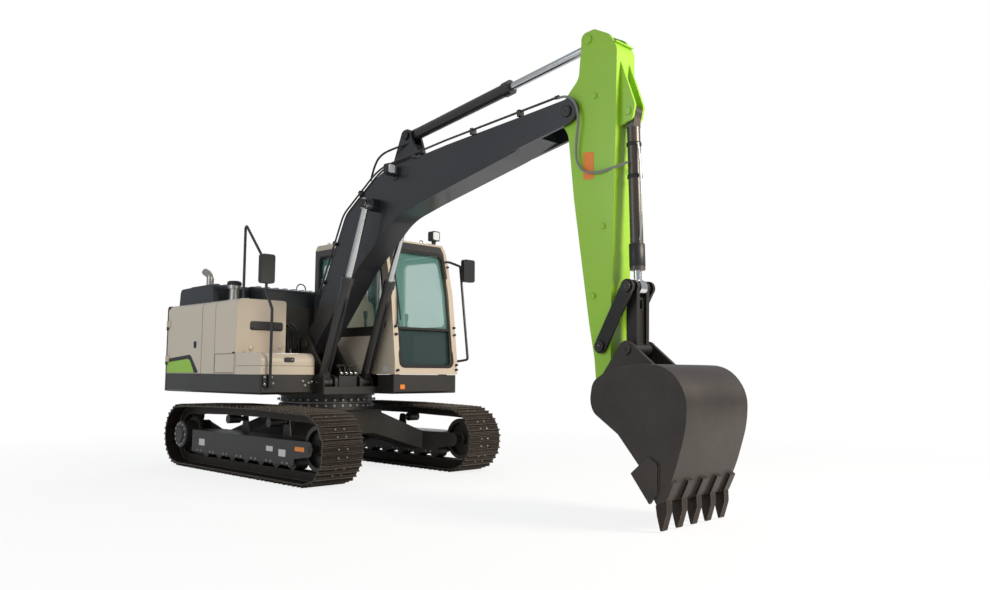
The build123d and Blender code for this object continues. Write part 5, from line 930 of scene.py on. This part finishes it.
class HouseTrim(bpy.types.Operator):
    """Latches, stripes, blank plates and fittings of the upper body"""

    bl_idname = "excavator.house_trim"
    bl_label = "House trim"

    def execute(self, context):
        for name, y, hand in (("left", LEFT_Y, 1), ("right", RIGHT_Y, -1)):
            self.door(name, side_plane(y, hand))
        right = side_plane(RIGHT_Y, -1)
        outer, inner = card((-0.532, -0.05, 1.158, 1.385), 0.012), card((-0.526, -0.056, 1.164, 1.379), 0.010)
        piece("lower_panel_edge", "house", "weight", lambda work: band(work, right, outer, inner, 0.002))
        spots = [at(TANK_X, y, z) for y, z in ((-1.044, 1.452), (-0.657, 1.471))]
        knob = ((0.034, 0.0), (0.033, 0.006), (0.026, 0.012), (0.008, 0.014))
        turnings("tank_knobs", "house", "body", spots, FRONT, knob, 24)
        # painted shadow: black strip on the right side where the gap above the toolbox lid lies in shade
        plates("tank_gap_painted_shadow", "house", "rubber", right, [card((-0.10, -0.03, 1.388, 1.402), 0.004)], 0.004)
        piece("filler_caps", "house", "black", tank_tops, True)
        cap = ((0.088, 0.0), (0.088, 0.03), (0.082, 0.046), (0.06, 0.054), (0.02, 0.056))
        turnings("air_cleaner_cap", "house", "black", [at(-0.70, -0.93, 2.245)], UP, cap, 36)
        latch = [card((-0.95, -0.82, 1.281, 1.337), 0.024)]
        plates("toolbox_latch", "toolbox_lid", "black", front_plane(DECK_X), latch, 0.006, 0.002)
        key = ((0.013, 0.0), (0.012, 0.006), (0.004, 0.007))
        turnings("toolbox_key", "toolbox_lid", "bolt", [at(DECK_X + 0.006, -0.85, 1.309)], FRONT, key, 20)
        foot = [card((-1.215, -1.075, 1.005, 1.145), 0.02)]
        plates("rail_foot_plate", "house", "rail", front_plane(DECK_X + 0.0143), foot, 0.006, 0.002)
        piece("house_bolts", "house", "bolt", house_bolts)
        handle = [at(-0.79, y, z) for y, z in ((0.01, 2.26), (0.01, 2.345), (0.15, 2.345), (0.15, 2.26))]
        tube("hood_handle", "engine_hood", "bolt", [handle], 0.009)
        return {"FINISHED"}

    def door(self, name, plane):
        """Latch and two-tone stripe of one side door."""
        body = name + "_side_door"
        rim = [side + step * LATCH_RIM for side, step in zip(LATCH, (-1, 1, -1, 1))]

        def handle(work):
            plate(work, plane, card(LATCH, 0.012), 0.002)
            plate(work, plane, card((-1.082, -1.038, 1.48, 1.538), 0.01), 0.012, 0.003)

        outer, inner = card(rim, 0.016), card(LATCH, 0.012)
        piece(name + "_latch_rim", body, "pale", lambda work: band(work, plane, outer, inner, 0.004))
        piece(name + "_latch", body, "black", handle)
        edge, fill = [rounded(CHEVRON_BORDER, 0.02)], [rounded(CHEVRON_FILL, 0.012)]
        plates(name + "_chevron_border", body, "black", plane, edge, 0.0012, 0.0004)
        plates(name + "_chevron", body, "stripe", plane, fill, 0.0022, 0.0004)


def windscreen_border(work):
    bar = (0.30, 1.13, 1.690, 1.722)
    outer, inner = card((0.278, 1.152, 1.228, 2.702), 0.10, 8), card((0.315, 1.115, 1.265, 2.662), 0.075, 8)
    band(work, cab_front_plane, outer, inner, 0.006)
    band(
        work,
        lambda u, v, out=0.0: cab_front_plane(u, v, out - 0.02),
        card(bar, 0.004),
        card((0.302, 1.128, 1.692, 1.720), 0.003),
        0.02,
    )
    plate(work, lambda u, v, out=0.0: cab_front_plane(u, v, out - 0.022), card(bar, 0.004), 0.02)


def cab_bosses(work):
    left = ((1.183, 2.60), (1.19, 2.53), (1.186, 1.74), (1.186, 1.65), (1.19, 1.27), (1.19, 1.21))
    right = ((0.246, 1.723), (0.246, 1.628), (0.25, 1.20))
    for places, profile in (
        (left, ((0.014, 0.0), (0.014, 0.03), (0.011, 0.036), (0.004, 0.037))),
        (right, ((0.016, 0.0), (0.016, 0.03), (0.012, 0.038), (0.004, 0.039))),
    ):
        for y, z in places:
            turned(work, cab_front_plane(y, z), FRONT, profile, 16)


def rear_window(work):
    plate(work, front_plane(-0.628, -1), card((0.70, 0.725, 1.79, 2.63), 0.004), 0.006)
    outer, inner = card((0.312, 1.118, 1.768, 2.652), 0.07), card((0.34, 1.09, 1.796, 2.624), 0.05)
    band(work, front_plane(-0.668, -1), outer, inner, 0.006)


def door_handle(work):
    plate(work, side_plane(CAB_LEFT_Y, 1), card((0.80, 0.93, 1.60, 1.68), 0.02), 0.008, 0.002)
    plate(work, side_plane(CAB_LEFT_Y + 0.014, 1), card((0.815, 0.915, 1.63, 1.655), 0.01), 0.012, 0.003)


def mirror_glass(work):
    plate(work, front_plane(0.455, -1), card((-1.235, -1.095, 2.18, 2.48), 0.03), 0.003)
    plate(work, front_plane(1.083, -1), card((1.28, 1.44, 2.35, 2.61), 0.03), 0.003)


class CabTrim(bpy.types.Operator):
    """Window borders, wiper, bosses, lamps and blank plates of the cab"""

    bl_idname = "excavator.cab_trim"
    bl_label = "Cab trim"

    def execute(self, context):
        piece("windscreen_border", "house", "rubber", windscreen_border)
        arm = [(0.262, 1.72, 0.012), (0.27, 1.80, 0.03), (0.30, 2.15, 0.022)]
        blade = [(0.325, 1.80, 0.014), (0.312, 2.15, 0.012), (0.30, 2.50, 0.012)]
        runs = [[cab_front_plane(*spot) for spot in run] for run in (arm, blade)]
        tube("wiper", "house", "rubber", runs, 0.008)
        piece("cab_bosses", "house", "black", cab_bosses, True)
        piece("rear_window_border", "house", "rubber", rear_window)
        outer = rounded([(-0.585, 1.705), (0.905, 1.705), (0.752, 2.675), (-0.585, 2.715)], 0.07)
        inner = rounded([(-0.555, 1.735), (0.872, 1.735), (0.728, 2.647), (-0.555, 2.685)], 0.055)
        border("right_window_border", side_plane(CAB_RIGHT_Y, -1), outer, inner, 0.005)
        outer, inner = card((-0.595, -0.135, 1.745, 2.705), 0.07), card((-0.568, -0.162, 1.772, 2.678), 0.055)
        border("left_window_border", side_plane(CAB_LEFT_Y, 1), outer, inner, 0.005)
        piece("door_handle", "cab_door", "black", door_handle)
        label = [card((0.845, 0.945, 1.178, 1.252), 0.008)]
        plates("cab_plate", "house", "pale", side_plane(CAB_RIGHT_Y, -1), label, *LABEL)
        label = [card((0.30, 0.37, 0.975, 1.03), 0.006)]
        plates("skirt_plate", "house", "orange", front_plane(CAB_FRONT_X), label, *LABEL)
        lens = [card((1.093, 1.197, 2.903, 3.007), 0.02)]
        plates("roof_lamp_lens", "house", "lens", front_plane(0.73), lens, *LENS)
        lens = [card((-0.453, -0.362, 3.352, 3.443), 0.02)]
        plates("boom_lamp_lens", "boom", "lens", front_plane(1.76), lens, *LENS)
        piece("mirror_glass", "house", "mirror", mirror_glass)
        for name, x, y in (("roof_loop_front", 0.55, 1.04), ("roof_loop_rear", -0.55, 0.35)):
            steps = ((-0.03, 2.846), (-0.03, 2.905), (0.03, 2.905), (0.03, 2.846))
            tube(name, "house", "bolt", [[at(x, y + step, z) for step, z in steps]], 0.007)
        return {"FINISHED"}


def seat_base(work):
    """Base plate, bellows and cushion pan."""
    plate(work, top_plane(SEAT_FLOOR), card((-0.33, 0.06, SEAT_Y - 0.22, SEAT_Y + 0.22), 0.03), 0.05, 0.006)
    for step in range(7):
        inset = 0.02 if step % 2 else 0.0
        corners = (-0.29 + inset, 0.02 - inset, SEAT_Y - 0.18 + inset, SEAT_Y + 0.18 - inset)
        plate(work, top_plane(1.246 + step * 0.03), card(corners, 0.04), 0.03, 0.004)
    plate(work, top_plane(1.456), card((-0.36, 0.11, SEAT_Y - 0.23, SEAT_Y + 0.23), 0.05), 0.03, 0.008)


class OperatorSeat(bpy.types.Operator):
    """Cushions of the operator's seat on their base"""

    bl_idname = "excavator.operator_seat"
    bl_label = "Operator seat"

    def execute(self, context):
        for name, centre, half, lean, seams in (
            ("seat_cushion", (-0.115, SEAT_Y, 1.545), (0.245, 0.245, 0.066), 0.0, 2),
            ("seat_back", (-0.375, SEAT_Y, 1.845), (0.062, 0.235, 0.315), -0.10, 2),
            ("seat_headrest", (-0.41, SEAT_Y, 2.235), (0.038, 0.14, 0.10), -0.10, 0),
        ):
            made = cushion(name, centre, half, lean, seams)
            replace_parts(made, "seat")
        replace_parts(piece("seat_base", "house", "black", seat_base), "seat")
        return {"FINISHED"}


def bucket_cylinder_turnings(work, reaches, profile):
    """Revolved forms round the bucket cylinder's tube, at reaches from its foot."""
    foot, eye = (Vector(end) for end in BUCKET_CYL)
    way = (eye - foot).normalized()
    for reach in reaches:
        spot = foot + way * reach
        turned(work, at(spot.x, BOOM_Y, spot.y), Vector((way.x, 0.0, way.y)), profile, 36)


def bucket_gland(work):
    bucket_cylinder_turnings(work, (1.14,), ((0.0635, 0.0), (0.0675, 0.004), (0.0675, 0.19), (0.0635, 0.20)))


def bucket_clamps(work):
    profile = ((0.0585, -0.016), (0.064, -0.014), (0.064, 0.014), (0.0585, 0.016))
    bucket_cylinder_turnings(work, (0.28, 0.56), profile)


def cutter_bolts(work):
    for hand in SIDES:
        for x, z in ((5.13, 0.40), (5.19, 0.31), (5.22, 0.47)):
            bolt(work, at(x, BOOM_Y + hand * BUCKET_HALF, z), (0, hand, 0), 0.016)


class ArmTrim(bpy.types.Operator):
    """Pin caps, clamps, hoses and blank plates of boom, arm and bucket"""

    bl_idname = "excavator.arm_trim"
    bl_label = "Boom and arm trim"

    def execute(self, context):
        for name, body, x, z, faces, radius in PIN_CAPS:

            def caps(work, x=x, z=z, faces=faces, radius=radius):
                for y, hand in faces:
                    profile = ((radius, 0.0), (radius, 0.008), (radius * 0.9, 0.012), (radius * 0.3, 0.012))
                    turned(work, at(x, y, z), (0, hand, 0), profile, 32)
                    bolt(work, at(x, y + hand * 0.012, z), (0, hand, 0), 0.013)

            piece(name, body, "pin", caps)
        piece("bucket_cylinder_gland", "bucket_cylinder_tube", "black", bucket_gland, True)
        outline = rounded([(4.345, 3.11), (4.465, 3.095), (4.462, 2.855), (4.35, 2.862)], 0.01)
        plates("arm_plate", "arm", "orange", side_plane(BOOM_Y - 0.13, -1), [outline], *LABEL)
        bend = (at(4.13, BOOM_Y, 3.60), at(4.27, BOOM_Y, 3.30))
        near, far = ([[at(x, y, z) for x, z, y in route]] for route in (NEAR_ARM_HOSE, FAR_ARM_HOSE))
        tube("arm_hose", "boom", "grey_hose", near, 0.011, "arm", *bend)
        tube("far_arm_hose", "boom", "hose", far, 0.011, "arm", *bend)
        tube("boom_hump_hose", "boom", "hose", [[at(x, y, z) for x, z, y in HUMP_HOSE]], 0.012)
        steps = ((0.17, -0.082), (0.30, -0.092), (0.93, -0.092), (1.05, -0.060))
        for name, side in (("right", -1.0), ("left", 1.0)):
            y = BOOM_Y + side * BOOM_CYL_OUT
            name = "boom_cylinder_pipe_" + name
            cylinder_pipe(name, "boom_cylinder_tubes", "hose", BOOM_CYL, y, steps, 0.012)
        steps = ((0.16, 0.066), (0.26, 0.086), (1.38, 0.086), (1.48, 0.06))
        cylinder_pipe("arm_cylinder_pipe", "arm_cylinder_tube", "hose", ARM_CYL, BOOM_Y + 0.05, steps, 0.011)
        steps = ((0.28, 0.058), (0.36, 0.078), (1.02, 0.078), (1.12, 0.055))
        y = BOOM_Y - 0.03
        cylinder_pipe("bucket_cylinder_pipe", "bucket_cylinder_tube", "pipe", BUCKET_CYL, y, steps, 0.010)
        piece("bucket_cylinder_clamps", "bucket_cylinder_tube", "black", bucket_clamps, True)
        piece("cutter_bolts", "bucket", "tooth", cutter_bolts)
        return {"FINISHED"}


def valve_fittings(work):
    for index in range(7):
        spot = at(-0.44 + index * 0.055, -0.47 + 0.03 * (index % 2), 1.39)
        turned(work, spot, UP, ((0.016, 0.0), (0.016, 0.03), (0.011, 0.032), (0.011, 0.06)), 6)
    for index in range(5):
        bolt(work, at(-0.06, -0.55 + index * 0.035, 1.32), FRONT, 0.011)


class HoseRuns(bpy.types.Operator):
    """Hoses and valve fittings between the tank, the boom foot and the cab"""

    bl_idname = "excavator.hose_runs"
    bl_label = "Hose runs"

    def execute(self, context):
        chance = random.Random(4)
        runs = []
        for index in range(9):
            y = -0.54 + index * 0.02
            z = 1.40 + chance.uniform(-0.05, 0.1)
            runs.append(
                [
                    at(-0.30 + index * 0.03, y, 1.37),
                    at(-0.28 + index * 0.03, y - 0.01, z + 0.22),
                    at(-0.42, y + chance.uniform(0.0, 0.06), z + 0.33),
                    at(-0.62, y + 0.05 + chance.uniform(0.0, 0.06), z + 0.22),
                    at(-0.70, y + 0.08, 1.30),
                ]
            )
        tube("valve_hoses", "house", "hose", runs, 0.013)
        runs = []
        for index in range(4):
            y = -0.54 + index * 0.022
            runs.append(
                [
                    at(-0.10, y, 1.32 - index * 0.03),
                    at(0.10, y, 1.28 - index * 0.03),
                    at(0.34, y - 0.02, 1.12 - index * 0.02),
                    at(0.50, -0.50 + index * 0.02, 1.02),
                    at(0.63, -0.44 + index * 0.03, 0.99),
                ]
            )
        tube("front_hoses", "house", "hose", runs, 0.012)
        piece("valve_fittings", "house", "bolt", valve_fittings)
        cap = ((0.10, 0.0), (0.098, 0.03), (0.07, 0.06), (0.02, 0.068))
        turnings("slew_motor_cap", "house", "cast", [at(-0.40, -0.17, 1.445)], UP, cap, 32)
        spots = [at(0.69, -0.27 + index * 0.067, 1.16) for index in range(4)]
        nut = ((0.018, 0.0), (0.018, 0.014), (0.012, 0.016), (0.012, 0.028))
        turnings("port_nuts", "house", "pipe", spots, FRONT, nut, 6, False)
        return {"FINISHED"}


class Stage(bpy.types.Operator):
    """Adds the floor, the lamps and the camera"""

    bl_idname = "excavator.stage"
    bl_label = "Stage"

    def execute(self, context):
        settings = context.scene.machine_stage
        scene = context.scene
        scene.view_settings.view_transform = "Standard"
        self.floor(scene)
        self.surround(scene, settings.fill)
        for name, place, target, size, power, tint in LAMPS:
            lamp = bpy.data.lights.new(name, "AREA")
            lamp.shape = "DISK"
            lamp.size = size
            lamp.energy = power * settings.key
            lamp.color = tint
            holder = bpy.data.objects.new(name, lamp)
            holder.location = place
            holder.rotation_euler = (Vector(target) - Vector(place)).to_track_quat("-Z", "Y").to_euler()
            scene.collection.objects.link(holder)
        self.camera(scene, settings.lens)
        return {"FINISHED"}

    def floor(self, scene):
        """Pale floor that fades to white with distance."""
        mesh = bpy.data.meshes.new("floor")
        corners = [(x * FLOOR_HALF, y * FLOOR_HALF, 0) for x, y in ((-1, -1), (1, -1), (1, 1), (-1, 1))]
        mesh.from_pydata(corners, [], [(0, 1, 2, 3)])
        floor = bpy.data.objects.new("floor", mesh)
        scene.collection.objects.link(floor)
        made = Shader("floor_pale")
        bright = made.node("Emission", inputs={"Color": (1, 1, 1, 1), "Strength": 1.0})
        plain = made.node("BsdfDiffuse", inputs={"Color": (0.86, 0.86, 0.86, 1)})
        seen = made.node("LightPath", output="Is Camera Ray")
        reach = made.node("VectorMath", {"operation": "LENGTH"}, {0: made.place()}, "Value")
        share = seen * (reach.ramp(3.0, 9.0) * 0.18 + 0.82)
        mesh.materials.append(made.close(made.node("MixShader", inputs={0: share, 1: plain, 2: bright})))

    def surround(self, scene, strength):
        """White to the camera and through glass, and a soft fill to everything else."""
        made = Shader("studio", "World")
        camera_ray = made.node("LightPath", output="Is Camera Ray")
        through = Value(made, camera_ray.socket.node.outputs["Is Transmission Ray"])
        seen = made.node("Math", {"operation": "MAXIMUM"}, {0: camera_ray, 1: through})
        fill = made.node("Background", inputs={"Color": (0.92, 0.96, 1.0, 1), "Strength": strength})
        white = made.node("Background", inputs={"Color": (1, 1, 1, 1), "Strength": 1.0})
        scene.world = made.close(made.node("MixShader", inputs={0: seen, 1: fill, 2: white}))

    def camera(self, scene, lens):
        """Camera at the photograph's place and turn."""
        data = bpy.data.cameras.new("camera")
        data.lens = lens
        data.sensor_width = 36.0
        data.clip_end = 200.0
        camera = bpy.data.objects.new("camera", data)
        yaw, pitch, roll = (math.radians(angle) for angle in CAMERA_TURN)
        ahead = Vector((math.cos(pitch) * math.cos(yaw), math.cos(pitch) * math.sin(yaw), math.sin(pitch)))
        level = Vector((math.sin(yaw), -math.cos(yaw), 0.0))
        up = level.cross(ahead)
        right = math.cos(roll) * level + math.sin(roll) * up
        upward = -math.sin(roll) * level + math.cos(roll) * up
        matrix = Matrix((right, upward, -ahead)).transposed().to_4x4()
        matrix.translation = at(*CAMERA_PLACE)
        camera.matrix_world = matrix
        scene.collection.objects.link(camera)
        scene.camera = camera


class ExcavatorPanel(bpy.types.Panel):
    """Lists the pieces and their settings"""

    bl_label = "Excavator"
    bl_idname = "VIEW3D_PT_excavator"
    bl_space_type = "VIEW_3D"
    bl_region_type = "UI"
    bl_category = "Excavator"

    def draw(self, context):
        layout = self.layout
        for name in ("body", "dark", "accent"):
            layout.prop(context.scene.machine_look, name)
        for name in ("lens", "key", "fill"):
            layout.prop(context.scene.machine_stage, name)
        for piece in PIECES:
            layout.operator(piece.bl_idname)


PIECES = (
    NodeMaterials,
    TrackBolts,
    RingBolts,
    HouseTrim,
    CabTrim,
    OperatorSeat,
    ArmTrim,
    HoseRuns,
    Stage,
)
SETTINGS = (LookSettings, StageSettings)


def register():
    for kind in (*SETTINGS, *PIECES, ExcavatorPanel):
        bpy.utils.register_class(kind)
    bpy.types.Scene.machine_look = PointerProperty(type=LookSettings)
    bpy.types.Scene.machine_stage = PointerProperty(type=StageSettings)


def unregister():
    del bpy.types.Scene.machine_look
    del bpy.types.Scene.machine_stage
    for kind in (ExcavatorPanel, *reversed(PIECES), *reversed(SETTINGS)):
        bpy.utils.unregister_class(kind)


def main():
    """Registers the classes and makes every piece."""
    register()
    for piece in PIECES:
        group, action = piece.bl_idname.split(".")
        getattr(getattr(bpy.ops, group), action)()


if __name__ == "__main__":
    main()
